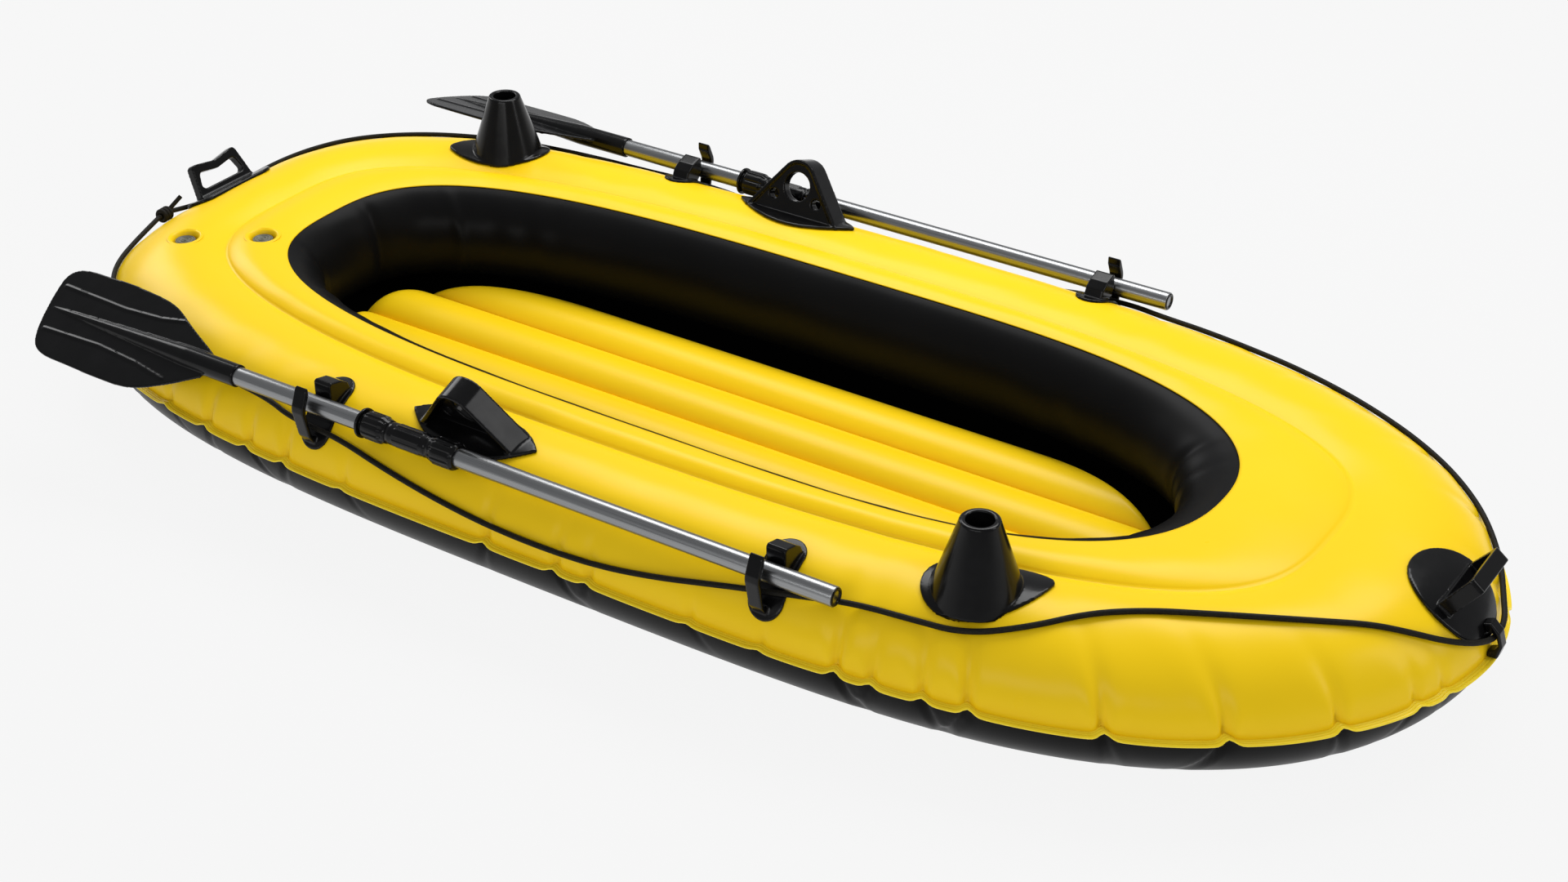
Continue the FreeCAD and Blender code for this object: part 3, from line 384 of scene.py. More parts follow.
def fit_valve(name, film, points, spread):
    """Hole in the film, a rounded well square to the film there, and an upright ringed screw cap."""
    low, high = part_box(f"{name}_valve_well")
    middle = np.array(((low + high) / 2)[:])
    height, axis = film_plane(points, middle, spread)
    at = np.array([middle[0], middle[1], height]) + axis * VALVE_LIFT * MM
    cut_hole(film, at, axis)
    cup = lathe(f"{name}_valve_cup", fillet(CUP_PROFILE), at, axis, "hull")
    finish(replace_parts(cup, f"{name}_valve_well"), YELLOW)
    disc = lathe(f"{name}_valve_disc", fillet(DISC_PROFILE, 1), at, (0, 0, 1), f"{name}_cap")
    finish(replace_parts(disc, f"{name}_valve_cap"), GREY)


# --- films of the hull ---------------------------------------------------------------------------
UPPER_ROWS = 62                  # from seam to groove
UPPER_CROWDING = 1.25            # above one, the rows crowd towards the seam
LOWER_CROWDING = 1.2
CROWN_ROWS = 34                  # from groove to rim
LOWER_ROWS = 44                  # from seam to floor sheet
WALL_ROWS = 52                   # from rim to floor
TOP_RIPPLE = 0.7
CROWN_RIPPLE = 0.35
CROWN_SWELL = 0.62               # power of the crown's rise: lower is fuller beside the groove
PUCKER_HOLD = 3.0                # beside the seam, where the puckers begin
RIPPLE_END = 230.0               # distance from the seam where the ripple has died away
RIPPLE_FADE = 40.0               # over which it comes in at the seam, and dies away there
LOWER_END, LOWER_FADE = 120.0, 50.0    # the same for the puckers of the lower film
SEAM_BLEND = 16.0                # over which the film comes back from the seam's own line
FOOT_HEIGHT = 8.0                # where the lower film meets the floor sheet
LOWER_PUCKERS = 0.75             # depth below the seam, as a share of that above it
LOWER_SWELL = 0.3                # shallow hollows beside the lower puckers, as a share of the swells above
LOWER_LEAN = 0.35                # sideways run of the lower puckers
LOWER_DROP = 2.6                 # of the lower film under the seam, so that the ribbon lies between the films
GROUND_GAP = 0.3                 # of the lower film above the ground
OUTER_VALVE_SPREAD = 42.0        # the film is taken as flat this far round a valve
FLOOR_VALVE_SPREAD = 20.0


def way_from_seam(turn):
    """Length of film between the seam and the points that the given angles away from it lie at."""
    return np.radians(turn) * (RING.reach.mean() + RISE) / 2


def follow_seam(across, height, away, drop=0.0):
    """Moves the rows near the seam with it."""
    near_seam = np.exp(-(away[:, None] / SEAM_BLEND) ** 2)
    return across + SEAM_OUT * near_seam, height + SEAM_UP * near_seam - drop * near_seam


def outer_rows():
    """The outer chamber's upper film, from seam to groove."""
    angles = GROOVE_ANGLE * np.linspace(0, 1, UPPER_ROWS) ** UPPER_CROWDING
    away = way_from_seam(angles)
    inset = pucker_depth(away) * smooth_step(away[:, None] / PUCKER_HOLD)
    slack = smooth_step(away[:, None] / RIPPLE_FADE) * smooth_step((RIPPLE_END - away[:, None]) / RIPPLE_FADE)
    inset += ripple(away, 3, TOP_RIPPLE) * slack
    across, height = tube_rows(angles, inset)
    return follow_seam(across, height, away)


def crown_rows():
    """The inner chamber's top, from groove to rim."""
    groove_height = RISE + RISE * math.sin(math.radians(GROOVE_ANGLE))
    u = np.linspace(0, 1, CROWN_ROWS)[1:]
    rise = np.sin(math.pi / 2 * np.minimum(u / CROWN_AT, 1)) ** CROWN_SWELL
    fall = 1 - np.cos(math.pi / 2 * np.maximum(u - CROWN_AT, 0) / (1 - CROWN_AT))
    height = groove_height + (CROWN_HEIGHT - groove_height) * rise - (CROWN_HEIGHT - RIM_HEIGHT) * fall
    across = RING.rim[None, :] * u[:, None]
    rows = np.broadcast_to(height[:, None], across.shape)
    return across, rows - ripple(u * 60, 8, CROWN_RIPPLE) * (u[:, None] * (1 - u[:, None]) * 4)


def make_top_film():
    """One film from the seam over both chambers to the rim, with its two valves."""
    parts = (outer_rows(), crown_rows())
    across = np.concatenate([part[0] for part in parts])
    height = np.concatenate([part[1] for part in parts])
    points = RING.place(across, height)[::-1]
    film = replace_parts(ring_film("hull_top_film", points), "outer_top_skin", "inner_top_skin")
    for name in ("outer", "inner"):
        fit_valve(name, film, points, OUTER_VALVE_SPREAD)
    return film


def make_bottom_film():
    """The outer chamber's lower film, from seam to floor sheet."""
    end = 180 + math.degrees(math.asin(1 - FOOT_HEIGHT / RISE))
    turn = (360 - end) * np.linspace(0, 1, LOWER_ROWS) ** LOWER_CROWDING
    away = way_from_seam(turn)
    fade = smooth_step(away[:, None] / PUCKER_HOLD) * smooth_step((LOWER_END - away[:, None]) / LOWER_FADE)
    inset = pucker_depth(away, LOWER_LEAN) * LOWER_PUCKERS * fade
    across, height = tube_rows(360 - turn, np.maximum(inset, 0) - LOWER_SWELL * np.minimum(inset, 0))
    across, height = follow_seam(across, height, away, LOWER_DROP)
    film = ring_film("hull_bottom_film", RING.place(across, np.maximum(height, GROUND_GAP)))
    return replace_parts(film, "outer_bottom_skin")


# Section of the seam flange, outward and up from the seam, with two weld lines pressed into its top.
RIBBON_PROFILE = [
    (-2.0, 1.2), (1.0, 1.5), (2.6, 1.4), (3.2, 0.8), (3.8, 1.3), (6.2, 1.0), (6.8, 0.3), (7.4, 0.8),
    (10.0, 0.3), (11.6, -0.3), (12.0, -1.2), (11.6, -2.0), (9.0, -1.8), (6.0, -1.6), (3.0, -1.5),
    (-2.0, -1.6),
]


def make_ribbon():
    """Welded seam flange: a narrow strip that follows the seam."""
    across = np.array([p[0] for p in RIBBON_PROFILE])[:, None] + RING.seam + SEAM_OUT
    height = np.array([p[1] for p in RIBBON_PROFILE])[:, None] + RISE + SEAM_UP
    points = RING.place(across, height)
    rows, columns = points.shape[:2]
    obj = make_object("seam_ribbon", points.reshape(-1, 3), grid_faces(rows, columns, closed_rows=True))
    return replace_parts(obj, "seam_flange")


# Soft folds in the inner wall: place beside the seam (x, y) and height of the fold, which runs aslant.
WALL_FOLDS = [
    (-1080, 130, 6), (-960, 350, -5), (-1070, -170, 5), (-900, -390, -4),
    (980, 280, 5), (1060, 190, -4), (1010, -250, 4),
]
FOLD_WIDTH = 26.0
FOLD_SLANT = 30.0
WALL_RIPPLE = 1.0
WALL_FOOT = 44.0                 # height where the wall meets the floor


def make_wall_film():
    """The inner chamber's wall, bellied into the cockpit, from rim to floor."""
    belly = RING.wall - RING.rim
    foot = RING.middle + RING.reach * math.cos(math.pi + math.asin(1 - WALL_FOOT / RISE)) - 2
    ones = np.ones_like(belly)
    points = np.array([
        [RING.rim + 1.0, RIM_HEIGHT * ones - 0.8],
        [RING.rim + belly * 0.22, 201.0 * ones],
        [RING.rim + belly * 0.8, 168.0 * ones],
        [RING.wall, 125.0 * ones],
        [RING.wall - belly * 0.25, 75.0 * ones],
        [RING.wall - belly * 0.8, 50.0 * ones],
        [np.minimum(foot, RING.wall - belly * 1.1), WALL_FOOT * ones],
    ])
    fractions = np.linspace(0, 1, WALL_ROWS)
    rows = curve_rows(points, fractions)
    share = fractions[:, None]
    swell = ripple(fractions * 180, 21, WALL_RIPPLE) * np.sin(share * math.pi) ** 0.5
    for x, y, deep in WALL_FOLDS:
        fold = np.exp(-((RING.gap(RING.run_at(x, y)) + FOLD_SLANT * (share - 0.5)) / FOLD_WIDTH) ** 2)
        swell = swell + deep * fold * np.sin(share * math.pi) ** 0.8
    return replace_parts(ring_film("inner_wall_film", RING.place(rows[:, 0] + swell, rows[:, 1])[::-1]),
                       "inner_wall_skin")


# --- floor ---------------------------------------------------------------------------------------
CHANNEL_WIDTH = 104.0
CHANNELS = 4
FLOOR_VALLEY = 33.0
FLOOR_CREST = 67.0
FLOOR_UNDER = 9.8
FLOOR_SIDE_GAP = 7.0             # from the widest wall to the floor's edge
FLOOR_END_GAP = 10.0             # and from the wall's ends
FLOOR_ROUND = 52.0               # reach of a channel's rounded sides and ends
END_SHARE = 0.8                  # the ends round off over this share of that reach
END_SWELL = 0.88                 # share of the crest's height that the end rounding takes away
END_DROP = 10.0                  # of the whole top at the very ends
SIDE_DROP, SIDE_SLOPE = 8.0, 0.4     # the top slopes down this close to the floor's outer edges
UNDER_GAP = 2.0                  # least thickness of a channel
ROWS_ACROSS, ROWS_ALONG = 27, 190


def rounding(way, power):
    """Zero at the edge of a channel and one from FLOOR_ROUND inward, along a quarter arc."""
    return np.sqrt(np.maximum(1 - (1 - np.clip(way / FLOOR_ROUND, 0, 1)) ** power, 0))


def floor_outline(y):
    """Half width of the floor, and its stern and bow end at each y, all a little inside the wall."""
    half = WALL.half_width - FLOOR_SIDE_GAP
    ends = []
    for sign, (length, along, across) in ((-1, WALL.stern), (1, WALL.bow)):
        share = np.maximum(1 - (np.abs(y) / half) ** across, 0.0) ** (1 / along)
        ends.append(WALL.widest_x + sign * (length - FLOOR_END_GAP) * share)
    return half, *ends


def channel_grids(index):
    """Grid of points over one channel's top, and the same over its underside."""
    low = (index - CHANNELS / 2) * CHANNEL_WIDTH
    v = np.cos(np.linspace(math.pi, 0, ROWS_ACROSS))
    y = low + CHANNEL_WIDTH / 2 * (1 + v)
    half, stern, bow = floor_outline(y)
    u = (1 - np.cos(np.linspace(0, math.pi, ROWS_ALONG))) / 2
    x = stern[None, :] + (bow - stern)[None, :] * u[:, None]
    to_side = CHANNEL_WIDTH / 2 * (1 - np.abs(v))[None, :] * np.ones_like(x)
    to_end = np.minimum(x - stern[None, :], bow[None, :] - x)
    to_wall = (half - np.abs(y))[None, :] * np.ones_like(x)
    round_end = rounding(np.minimum(to_end / END_SHARE, FLOOR_ROUND), 2.2)
    swell = rounding(to_side, 2.0) * (1 - END_SWELL + END_SWELL * round_end)
    z = FLOOR_VALLEY + (FLOOR_CREST - FLOOR_VALLEY) * swell
    z = z - END_DROP * (1 - round_end) - np.maximum(SIDE_DROP - to_wall, 0) * SIDE_SLOPE
    top = np.stack([x + SHIFT, np.broadcast_to(y, x.shape), z], -1) * MM
    under = top.copy()
    under[..., 2] = np.minimum(FLOOR_UNDER, z - UNDER_GAP) * MM
    return top.reshape(-1, 3), under.reshape(-1, 3)


def channel_edge():
    """The points round a grid's edge, in order."""
    last = ROWS_ALONG - 1
    edge = [r * ROWS_ACROSS for r in range(ROWS_ALONG)]
    edge += [last * ROWS_ACROSS + c for c in range(1, ROWS_ACROSS)]
    edge += [r * ROWS_ACROSS + ROWS_ACROSS - 1 for r in range(last - 1, -1, -1)]
    return edge + list(range(ROWS_ACROSS - 2, 0, -1))


def channel_faces(start):
    """Top, underside and sides of a channel whose top begins at start and its underside one grid later."""
    offset = start + ROWS_ALONG * ROWS_ACROSS
    faces = []
    for r in range(ROWS_ALONG - 1):
        for c in range(ROWS_ACROSS - 1):
            a = r * ROWS_ACROSS + c
            quad = (a, a + 1, a + ROWS_ACROSS + 1, a + ROWS_ACROSS)
            faces.append(tuple(start + k for k in quad[::-1]))
            faces.append(tuple(offset + k for k in quad))
    edge = channel_edge()
    for a, b in zip(edge, edge[1:] + edge[:1]):
        faces.append((start + a, start + b, offset + b, offset + a))
    return faces


def make_floor():
    """Inflated channels side by side, each closed and with rounded ends, welded along their valleys."""
    vertices, faces = [], []
    for index in range(CHANNELS):
        faces += channel_faces(len(vertices))
        for side in channel_grids(index):
            vertices.extend(side)
    floor = make_object("floor_channels", vertices, faces)
    fit_valve("floor", floor, np.array(vertices[:ROWS_ACROSS * ROWS_ALONG]), FLOOR_VALVE_SPREAD)
    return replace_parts(floor, "floor_top_skin", "floor_webs")


# --- grab rope -----------------------------------------------------------------------------------
ROPE_RADIUS = 0.004              # metres
ROPE_SIDES = 28
ROPE_STEP, QUICK_ROPE_STEP = 0.0011, 0.0022    # metres from one ring of points to the next
BRAID_STRANDS = 7                # each way round
BRAID_PITCH = 0.030              # metres for one turn of a strand
BRAID_RELIEF = 0.14              # of the strands, as a share of the radius
# The route in millimetres, from the stern knot along the starboard side, round the bow and back along
# the port side.
ROPE_ROUTE = [
    (-1076, -144, 193), (-1067, -207, 180), (-1041, -276, 174), (-992, -332, 175), (-920, -378, 178),
    (-829, -414, 179), (-733, -438, 180), (-630, -454, 180), (-537, -464, 179), (-481, -479, 173),
    (-391, -483, 172), (-300, -491, 156), (-205, -498, 144), (-110, -501, 135), (-10, -502, 133),
    (85, -500, 137), (170, -495, 149), (240, -488, 162), (289, -484, 172), (379, -470, 184),
    (448, -452, 189), (527, -443, 190), (601, -432, 189), (669, -393, 203), (723, -341, 214),
    (780, -299, 216), (846, -264, 216), (912, -229, 215), (969, -192, 210), (1020, -152, 201),
    (1061, -121, 186), (1091, -92, 169), (1115, -61, 155), (1128, -29, 143), (1133, 3, 135),
    (1130, 43, 135), (1111, 87, 141), (1089, 135, 153), (1054, 192, 162), (1011, 250, 164),
    (957, 294, 174), (896, 328, 183), (830, 360, 187), (754, 388, 191), (674, 409, 194),
    (595, 424, 195), (515, 437, 195), (436, 453, 189), (379, 470, 184), (289, 484, 172),
    (240, 488, 162), (170, 495, 149), (85, 500, 137), (-10, 502, 133), (-110, 501, 135),
    (-205, 498, 144), (-300, 491, 156), (-391, 483, 172), (-481, 479, 173), (-537, 466, 177),
    (-629, 451, 183), (-728, 430, 188), (-819, 401, 192), (-902, 362, 194), (-967, 315, 195),
    (-1016, 263, 195), (-1050, 206, 192), (-1073, 148, 186), (-1086, 93, 178), (-1091, 43, 174),
    (-1092, 0, 173), (-1090, -46, 174), (-1087, -88, 183), (-1081, -114, 191),
]


def nurbs_line(points):
    """Points along one smooth curve that the route's points steer."""
    curve = bpy.data.curves.new("route", "CURVE")
    curve.dimensions = "3D"
    curve.resolution_u = 24
    spline = curve.splines.new("NURBS")
    spline.points.add(len(points) - 1)
    for point, (x, y, z) in zip(spline.points, points):
        point.co = ((x + SHIFT) * MM, y * MM, z * MM, 1.0)
    spline.order_u = 3
    spline.use_endpoint_u = True
    holder = bpy.data.objects.new("route", curve)
    bpy.context.scene.collection.objects.link(holder)
    bpy.context.view_layer.update()
    mesh = bpy.data.meshes.new_from_object(holder)
    line = np.array([v.co for v in mesh.vertices], float)
    bpy.data.objects.remove(holder)
    bpy.data.meshes.remove(mesh)
    return line


def even_line(line, step):
    """The same line in equal steps, and the run along it at each point."""
    run = np.concatenate([[0], np.cumsum(np.linalg.norm(np.diff(line, axis=0), axis=1))])
    count = int(run[-1] / step) + 1
    where = np.linspace(0, run[-1], count)
    return np.stack([np.interp(where, run, line[:, k]) for k in range(3)], 1), where


def frames_along(line):
    """Two unit sideways directions at each point, which don't twist along the line."""
    tangent = np.gradient(line, axis=0)
    tangent /= np.linalg.norm(tangent, axis=1, keepdims=True)
    side = np.zeros_like(tangent)
    side[0] = np.cross(tangent[0], [0.0, 0.0, 1.0])
    side[0] /= np.linalg.norm(side[0])
    for i in range(1, len(line)):
        carried = side[i - 1] - tangent[i] * np.dot(side[i - 1], tangent[i])
        side[i] = carried / np.linalg.norm(carried)
    return side, np.cross(tangent, side)


def make_rope():
    """Braided rope: a tube whose surface rises where one strand passes over another."""
    line, run = even_line(nurbs_line(ROPE_ROUTE), ROPE_STEP)
    side, up = frames_along(line)
    turn = np.arange(ROPE_SIDES) * 2 * math.pi / ROPE_SIDES
    twist = 2 * math.pi * run[:, None] / BRAID_PITCH
    one = np.abs(np.cos(BRAID_STRANDS * (turn[None, :] + twist) / 2))
    other = np.abs(np.cos(BRAID_STRANDS * (turn[None, :] - twist) / 2))
    over = np.maximum(one ** 0.8, other ** 0.8)
    radius = ROPE_RADIUS * (1 - BRAID_RELIEF + BRAID_RELIEF * over)
    points = line[:, None, :] + radius[..., None] * (
        np.cos(turn)[None, :, None] * side[:, None, :] + np.sin(turn)[None, :, None] * up[:, None, :])
    vertices = np.concatenate([points.reshape(-1, 3), line[:1], line[-1:]])
    rope = make_object("braided_grab_rope", vertices, tube_faces(len(line), ROPE_SIDES))
    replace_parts(rope, "grab_rope")
    return rope


# --- moulded fittings ----------------------------------------------------------------------------
SOFTENING = 0.5                  # share of each smoothing step


def mould(node, voxel, rounds, body="hull"):
    """A copy of a CAD node with the small radii of a moulding on every edge."""
    source = NODES[node]
    name = f"moulded_{node}"
    mesh = source.data.copy()
    mesh.name = name
    obj = bpy.data.objects.new(name, mesh)
    bpy.context.scene.collection.objects.link(obj)
    obj.matrix_world = source.matrix_world.copy()
    remesh = obj.modifiers.new("remesh", "REMESH")
    remesh.mode = "VOXEL"
    remesh.voxel_size = voxel
    remesh.use_smooth_shade = True
    soften = obj.modifiers.new("soften", "SMOOTH")
    soften.factor = SOFTENING
    soften.iterations = rounds
    graph = bpy.context.evaluated_depsgraph_get()
    final = bpy.data.meshes.new_from_object(obj.evaluated_get(graph))
    obj.modifiers.clear()
    obj.data = final
    final.polygons.foreach_set("use_smooth", [True] * len(final.polygons))
    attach(obj, body)
    finish(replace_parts(obj, node), PLASTIC)


SHAFT_RADIUS = 14.0              # millimetres, as are the profiles below
PLUG_INSET = 1.5                 # the tube's end stops this far short of the plug's
NUT_SIDES = 140
NUT_RIBS, NUT_RIB_DEPTH = 10, 1.6
NUT_RIB_MARGIN = 5.0             # of smooth nut at both ends


def span(node):
    """Foot of a piece that lies along x, at its low end on its axis, and its length in millimetres."""
    low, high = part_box(node)
    middle = (low + high) / 2
    return (low.x, middle.y, middle.z), (high.x - low.x) / MM


def tube_profile(length):
    return [
        (0, length), (SHAFT_RADIUS - 0.8, length), (SHAFT_RADIUS - 0.1, length - 0.5),
        (SHAFT_RADIUS, length - 1.5), (SHAFT_RADIUS, 1.5), (SHAFT_RADIUS - 0.1, 0.5), (SHAFT_RADIUS - 0.8, 0),
        (0, 0),
    ]


def nut_profile(length):
    """Narrow neck at the far end, full grip and a rounded foot."""
    return [
        (0, length), (15.5, length), (17.0, length - 0.8), (17.8, length - 5), (18.2, length - 8),
        (19.8, length - 10), (20.4, length - 12), (20.5, length * 0.5), (20.4, 6), (19.9, 4),
        (18.4, 2.4), (17.6, 0.8), (16.5, 0), (0, 0),
    ]


def plug_profile(length):
    """A rim round a shallow dish, on a plain stem."""
    return [
        (0, length - 2.2), (8, length - 2.0), (9, length), (12.4, length), (13.0, length - 1.2),
        (12.8, length - 8), (12.8, 1), (0, 0),
    ]


def make_shaft(side_name, half):
    """Smooth drawn tube; the upper one is long enough for its plug to lie flush."""
    foot, length = span(f"{side_name}_{half}_shaft")
    if half == "upper":
        length = (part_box(f"{side_name}_end_plug")[1].x - foot[0]) / MM - PLUG_INSET
    tube = lathe(f"{side_name}_{half}_tube", tube_profile(length), foot, (1, 0, 0), f"{side_name}_{half}_oar")
    finish(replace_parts(tube, f"{side_name}_{half}_shaft"), ALUMINIUM)


def make_nut(side_name, half):
    """Collar nut with grip grooves, on its shaft's axis; the two of an oar face each other."""
    shaft_foot, _ = span(f"{side_name}_{half}_shaft")
    nut_foot, length = span(f"{side_name}_{half}_collar_nut")
    foot = (nut_foot[0], *shaft_foot[1:])
    profile = nut_profile(length)
    if half == "upper":
        profile = [(radius, length - height) for radius, height in profile[::-1]]
    ribbed = (NUT_RIB_MARGIN, length - NUT_RIB_MARGIN)
    nut = lathe(f"{side_name}_{half}_grip_nut", fillet(profile, 1), foot, (1, 0, 0),
                f"{side_name}_{half}_nut", NUT_SIDES, NUT_RIBS, NUT_RIB_DEPTH, ribbed)
    finish(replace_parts(nut, f"{side_name}_{half}_collar_nut"), PLASTIC)


def make_plug(side_name):
    """Plug that closes the upper tube's end."""
    foot, length = span(f"{side_name}_end_plug")
    plug = lathe(f"{side_name}_flush_plug", fillet(plug_profile(length), 1), foot, (1, 0, 0),
                 f"{side_name}_upper_oar")
    finish(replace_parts(plug, f"{side_name}_end_plug"), PLASTIC)


# --- materials -----------------------------------------------------------------------------------
class Nodes:
    """A procedural material, built node by node."""

    def __init__(self, name):
        self.material = bpy.data.materials.new(name)
        self.material.use_nodes = True
        self.tree = self.material.node_tree
        self.shader = self.tree.nodes["Principled BSDF"]
        coords = self.tree.nodes.new("ShaderNodeTexCoord")
        self.place = coords.outputs["Object"]

    def add(self, kind, **inputs):
        """A new node whose inputs are either linked from a socket or set to a value."""
        node = self.tree.nodes.new(kind)
        for key, value in inputs.items():
            socket = node.inputs[key.replace("_", " ")]
            if isinstance(value, bpy.types.NodeSocket):
                self.tree.links.new(value, socket)
            else:
                socket.default_value = value
        return node

    def noise(self, scale, detail, roughness=0.5):
        node = self.add("ShaderNodeTexNoise", Vector=self.place, Scale=scale, Detail=detail,
                        Roughness=roughness)
        return node.outputs["Fac"]

    def ramp(self, fac, stops):
        node = self.add("ShaderNodeValToRGB", Fac=fac)
        elements = node.color_ramp.elements
        while len(elements) < len(stops):
            elements.new(0.5)
        for element, (position, colour) in zip(elements, stops):
            element.position = position
            element.color = (*colour, 1.0)
        return node.outputs["Color"]

    def spread(self, fac, low, high):
        node = self.add("ShaderNodeMapRange", Value=fac, To_Min=low, To_Max=high)
        return node.outputs["Result"]

    def bump(self, height, strength, distance, normal=None):
        node = self.add("ShaderNodeBump", Height=height, Strength=strength, Distance=distance)
        if normal is not None:
            self.tree.links.new(normal, node.inputs["Normal"])
        return node.outputs["Normal"]

    def link(self, value, socket):
        self.tree.links.new(value, self.shader.inputs[socket])

    def set(self, **values):
        for key, value in values.items():
            self.shader.inputs[key.replace("_", " ")].default_value = value


def vinyl(name, light, dark, roughness, specular):
    """Calendered vinyl film: even colour with faint clouding, a soft gloss and a fine orange peel."""
    m = Nodes(name)
    m.link(m.ramp(m.noise(3.0, 4.0), [(0.3, dark), (0.7, light)]), "Base Color")
    m.link(m.spread(m.noise(14.0, 5.0), roughness - 0.04, roughness + 0.05), "Roughness")
    peel = m.bump(m.noise(420.0, 2.0), 0.02, 0.0003)
    m.link(m.bump(m.noise(22.0, 3.0), 0.02, 0.003, peel), "Normal")
    m.set(Specular_IOR_Level=specular, IOR=1.5)
    return m.material


def plastic(name, colour, roughness, specular):
    """Injection-moulded plastic with a fine grain and slightly uneven gloss."""
    m = Nodes(name)
    lighter = tuple(c * 1.5 for c in colour)
    m.link(m.ramp(m.noise(30.0, 4.0), [(0.35, colour), (0.75, lighter)]), "Base Color")
    m.link(m.spread(m.noise(55.0, 4.0), roughness - 0.05, roughness + 0.07), "Roughness")
    m.link(m.bump(m.noise(900.0, 2.0), 0.025, 0.0002), "Normal")
    m.set(Specular_IOR_Level=specular, IOR=1.49)
    return m.material


def drawn_aluminium(name):
    """Drawn tube: bright metal with fine streaks along its length."""
    m = Nodes(name)
    stretch = m.add("ShaderNodeMapping", Vector=m.place, Scale=(3.0, 900.0, 900.0))
    streaks = m.add("ShaderNodeTexNoise", Vector=stretch.outputs["Vector"], Scale=1.0, Detail=3.0)
    streak = streaks.outputs["Fac"]
    m.link(m.ramp(streak, [(0.3, (0.24, 0.245, 0.25)), (0.7, (0.32, 0.325, 0.33))]), "Base Color")
    m.link(m.spread(streak, 0.24, 0.33), "Roughness")
    m.link(m.bump(streak, 0.02, 0.0001), "Normal")
    m.set(Metallic=1.0)
    return m.material


def braid(name):
    """Matt braided cord with a few paler fibres."""
    m = Nodes(name)
    shade = m.ramp(m.noise(700.0, 2.0), [(0.4, (0.003, 0.003, 0.003)), (0.8, (0.022, 0.018, 0.008))])
    m.link(shade, "Base Color")
    fibres = m.add("ShaderNodeTexNoise", Vector=m.place, Scale=2600.0, Detail=2.0)
    m.link(m.bump(fibres.outputs["Fac"], 0.4, 0.0003), "Normal")
    m.link(m.spread(m.noise(240.0, 2.0), 0.55, 0.7), "Roughness")
    m.set(Specular_IOR_Level=0.16)
    return m.material


# Paler colour, darker colour, roughness, specular level.
YELLOW = vinyl("yellow vinyl", (0.93, 0.62, 0.008), (0.90, 0.59, 0.007), 0.29, 0.14)
# Painted highlight: the seam flange gets the paler, more lemon colour of the film's lit top, so the strip
# reads as a bright band.
RIBBON_PAINTED_HIGHLIGHT = vinyl("yellow vinyl with painted highlight", (1.0, 0.76, 0.03), (0.98, 0.72, 0.02), 0.26, 0.22)
BLACK = vinyl("black vinyl", (0.0050, 0.0050, 0.0052), (0.0035, 0.0035, 0.0037), 0.36, 0.07)
PLASTIC = plastic("black plastic", (0.0030, 0.0030, 0.0032), 0.17, 0.20)
GREY = plastic("grey plastic", (0.10, 0.10, 0.075), 0.38, 0.35)
ALUMINIUM = drawn_aluminium("drawn aluminium")
BRAID = braid("black braid")
SLOTS = {
    "yellow_vinyl": YELLOW, "black_vinyl": BLACK, "black_plastic": PLASTIC, "grey_plastic": GREY,
    "shaft_aluminium": ALUMINIUM, "black_rope": BRAID,
}


def finish(obj, material):
    """One material on a made piece."""
    obj.data.materials.clear()
    obj.data.materials.append(material)
    return obj


def dress_cad():
    """A material on every CAD node, by the record's own slots."""
    for part in frame["record"]["subparts"]:
        obj = NODES[part["node"]]
        material = SLOTS[part["material_slot"]]
        if not obj.material_slots:
            obj.data.materials.append(material)
        for held in obj.material_slots:
            held.material = material


# --- stage ---------------------------------------------------------------------------------------
CAMERA_PLACE = (1.821, -2.708, 2.020)
CAMERA_AZIMUTH = 33.358          # degrees round from starboard towards the bow
CAMERA_ELEVATION = 31.053
LENS, SENSOR = 58.43, 36.0
# Name, place, target, size and watts of each soft box.
LIGHTS = [
    ("overhead", (-0.3, 1.7, 3.2), (0, 0, 0), (4.2, 1.6), 135),
    ("stern strip", (-4.2, 1.2, 2.4), (0, 0, 0.1), (1.4, 2.0), 40),
    ("bow strip", (4.0, 1.2, 2.2), (0.3, 0, 0.1), (1.0, 2.4), 30),
    ("near fill", (0.8, -4.0, 1.9), (0, 0, 0.1), (4.0, 0.9), 36),
]
WORLD_COLOUR = (0.80, 0.81, 0.83, 1.0)
WORLD_STRENGTH = 0.40
FLOOR_SIZE = 60.0
FLOOR_DROP = 0.0015              # under the hull
FLOOR_BASE = (0.03, 0.03, 0.03, 1.0)
FLOOR_GLOW = (0.91, 0.91, 0.91, 1.0)


def make_camera():
    data = bpy.data.cameras.new("camera")
    data.lens = LENS
    data.sensor_width = SENSOR
    camera = bpy.data.objects.new("camera", data)
    bpy.context.scene.collection.objects.link(camera)
    azimuth, elevation = math.radians(CAMERA_AZIMUTH), math.radians(CAMERA_ELEVATION)
    back = Vector((math.sin(azimuth) * math.cos(elevation), -math.cos(azimuth) * math.cos(elevation),
                   math.sin(elevation)))
    camera.location = CAMERA_PLACE
    camera.rotation_euler = (-back).to_track_quat("-Z", "Y").to_euler()
    data.clip_end = FLOOR_SIZE
    bpy.context.scene.camera = camera


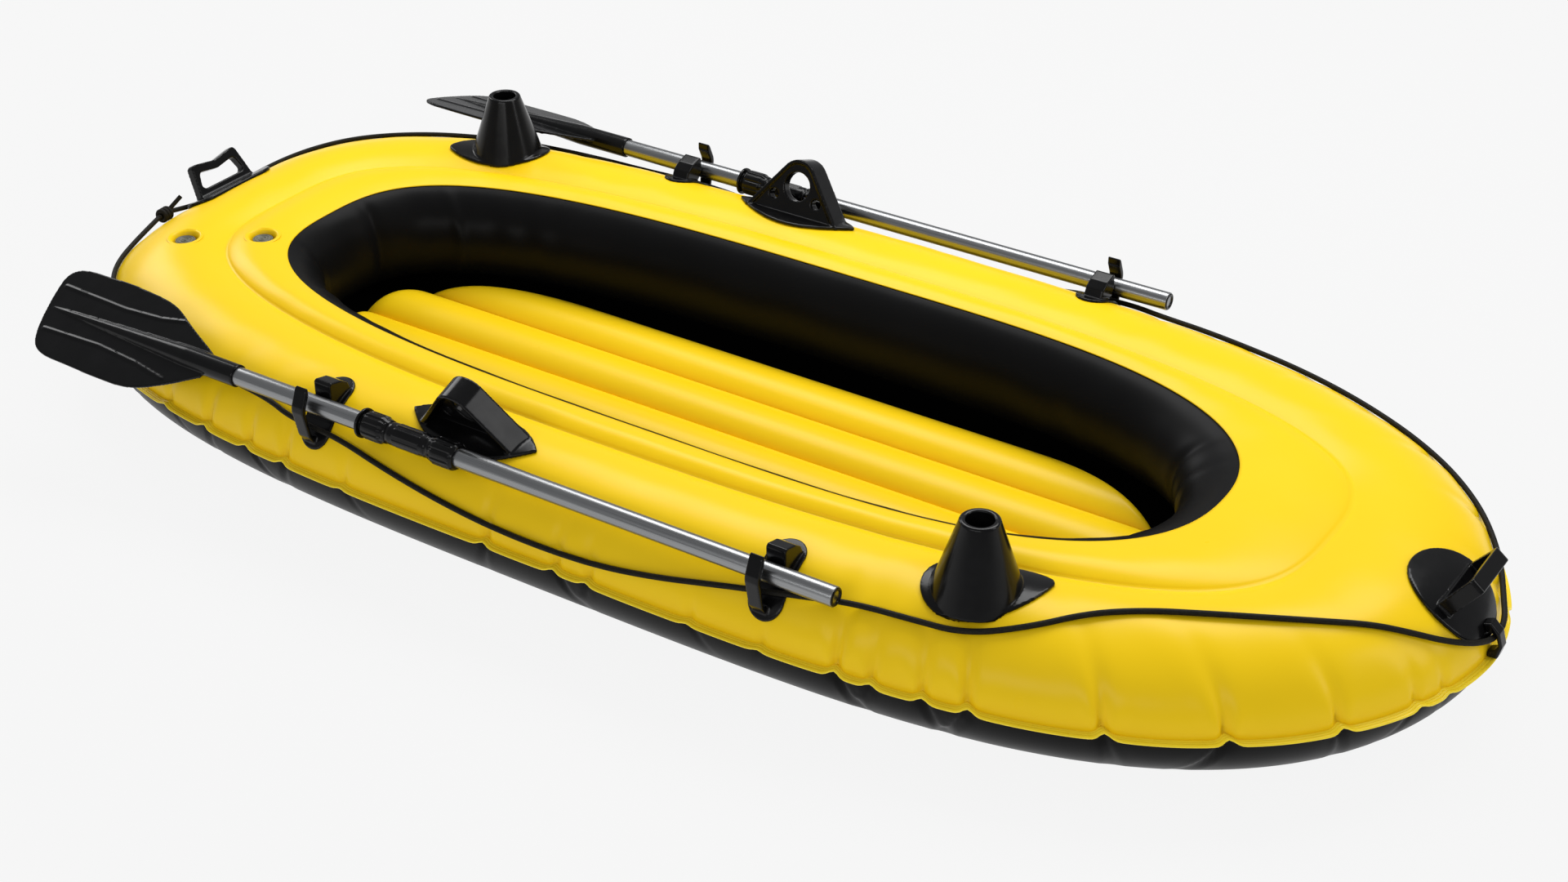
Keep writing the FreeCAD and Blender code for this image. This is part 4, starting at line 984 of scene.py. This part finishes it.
def soft_box(name, place, target, size, power):
    data = bpy.data.lights.new(name, "AREA")
    data.shape = "RECTANGLE"
    data.size, data.size_y = size
    data.energy = power
    light = bpy.data.objects.new(name, data)
    bpy.context.scene.collection.objects.link(light)
    light.location = place
    light.rotation_euler = (Vector(target) - Vector(place)).to_track_quat("-Z", "Y").to_euler()


def make_stage():
    """Pale floor without an edge, an even sky and four soft boxes."""
    bpy.ops.mesh.primitive_plane_add(size=FLOOR_SIZE, location=(0, 0, -FLOOR_DROP))
    floor = bpy.context.object
    floor.name = "floor"
    m = Nodes("pale floor")
    m.set(Base_Color=FLOOR_BASE, Roughness=0.95, Specular_IOR_Level=0.0, Emission_Color=FLOOR_GLOW,
          Emission_Strength=0.98)
    floor.data.materials.append(m.material)
    world = bpy.data.worlds.new("studio")
    world.use_nodes = True
    shade = world.node_tree.nodes["Background"]
    shade.inputs["Color"].default_value = WORLD_COLOUR
    shade.inputs["Strength"].default_value = WORLD_STRENGTH
    bpy.context.scene.world = world
    for light in LIGHTS:
        soft_box(*light)
    view = bpy.context.scene.view_settings
    view.view_transform = "Standard"
    view.look = "None"


# --- everything ----------------------------------------------------------------------------------
# Voxel size and smoothing rounds of each moulded fitting.
HULL_FITTINGS = [
    ("oarlock", 0.0014, 8), ("rod_holder", 0.0014, 8), ("aft_clip", 0.0011, 8), ("fore_clip", 0.0011, 8),
]
OAR_FITTINGS = [
    ("coupler_sleeve", "upper", 0.0009, 6), ("drip_ring", "lower", 0.0009, 6), ("blade", "lower", 0.0014, 6),
]

make_camera()
finish(make_rope(), BRAID)
dress_cad()
finish(make_top_film(), YELLOW)
finish(make_bottom_film(), BLACK)
# The seam flange wears the yellow with the painted highlight.
finish(make_ribbon(), RIBBON_PAINTED_HIGHLIGHT)
finish(make_wall_film(), BLACK)
finish(make_floor(), YELLOW)
for side_name in ("starboard", "port"):
    for piece, voxel, rounds in HULL_FITTINGS:
        mould(f"{side_name}_{piece}", voxel, rounds)
    for half in ("lower", "upper"):
        make_shaft(side_name, half)
        make_nut(side_name, half)
    make_plug(side_name)
    for piece, half, voxel, rounds in OAR_FITTINGS:
        mould(f"{side_name}_{piece}", voxel, rounds, f"{side_name}_{half}_oar")
for node_name in ("bow_grab_handle", "stern_grab_handle", "bow_cleat"):
    mould(node_name, 0.0012, 8)
make_stage()
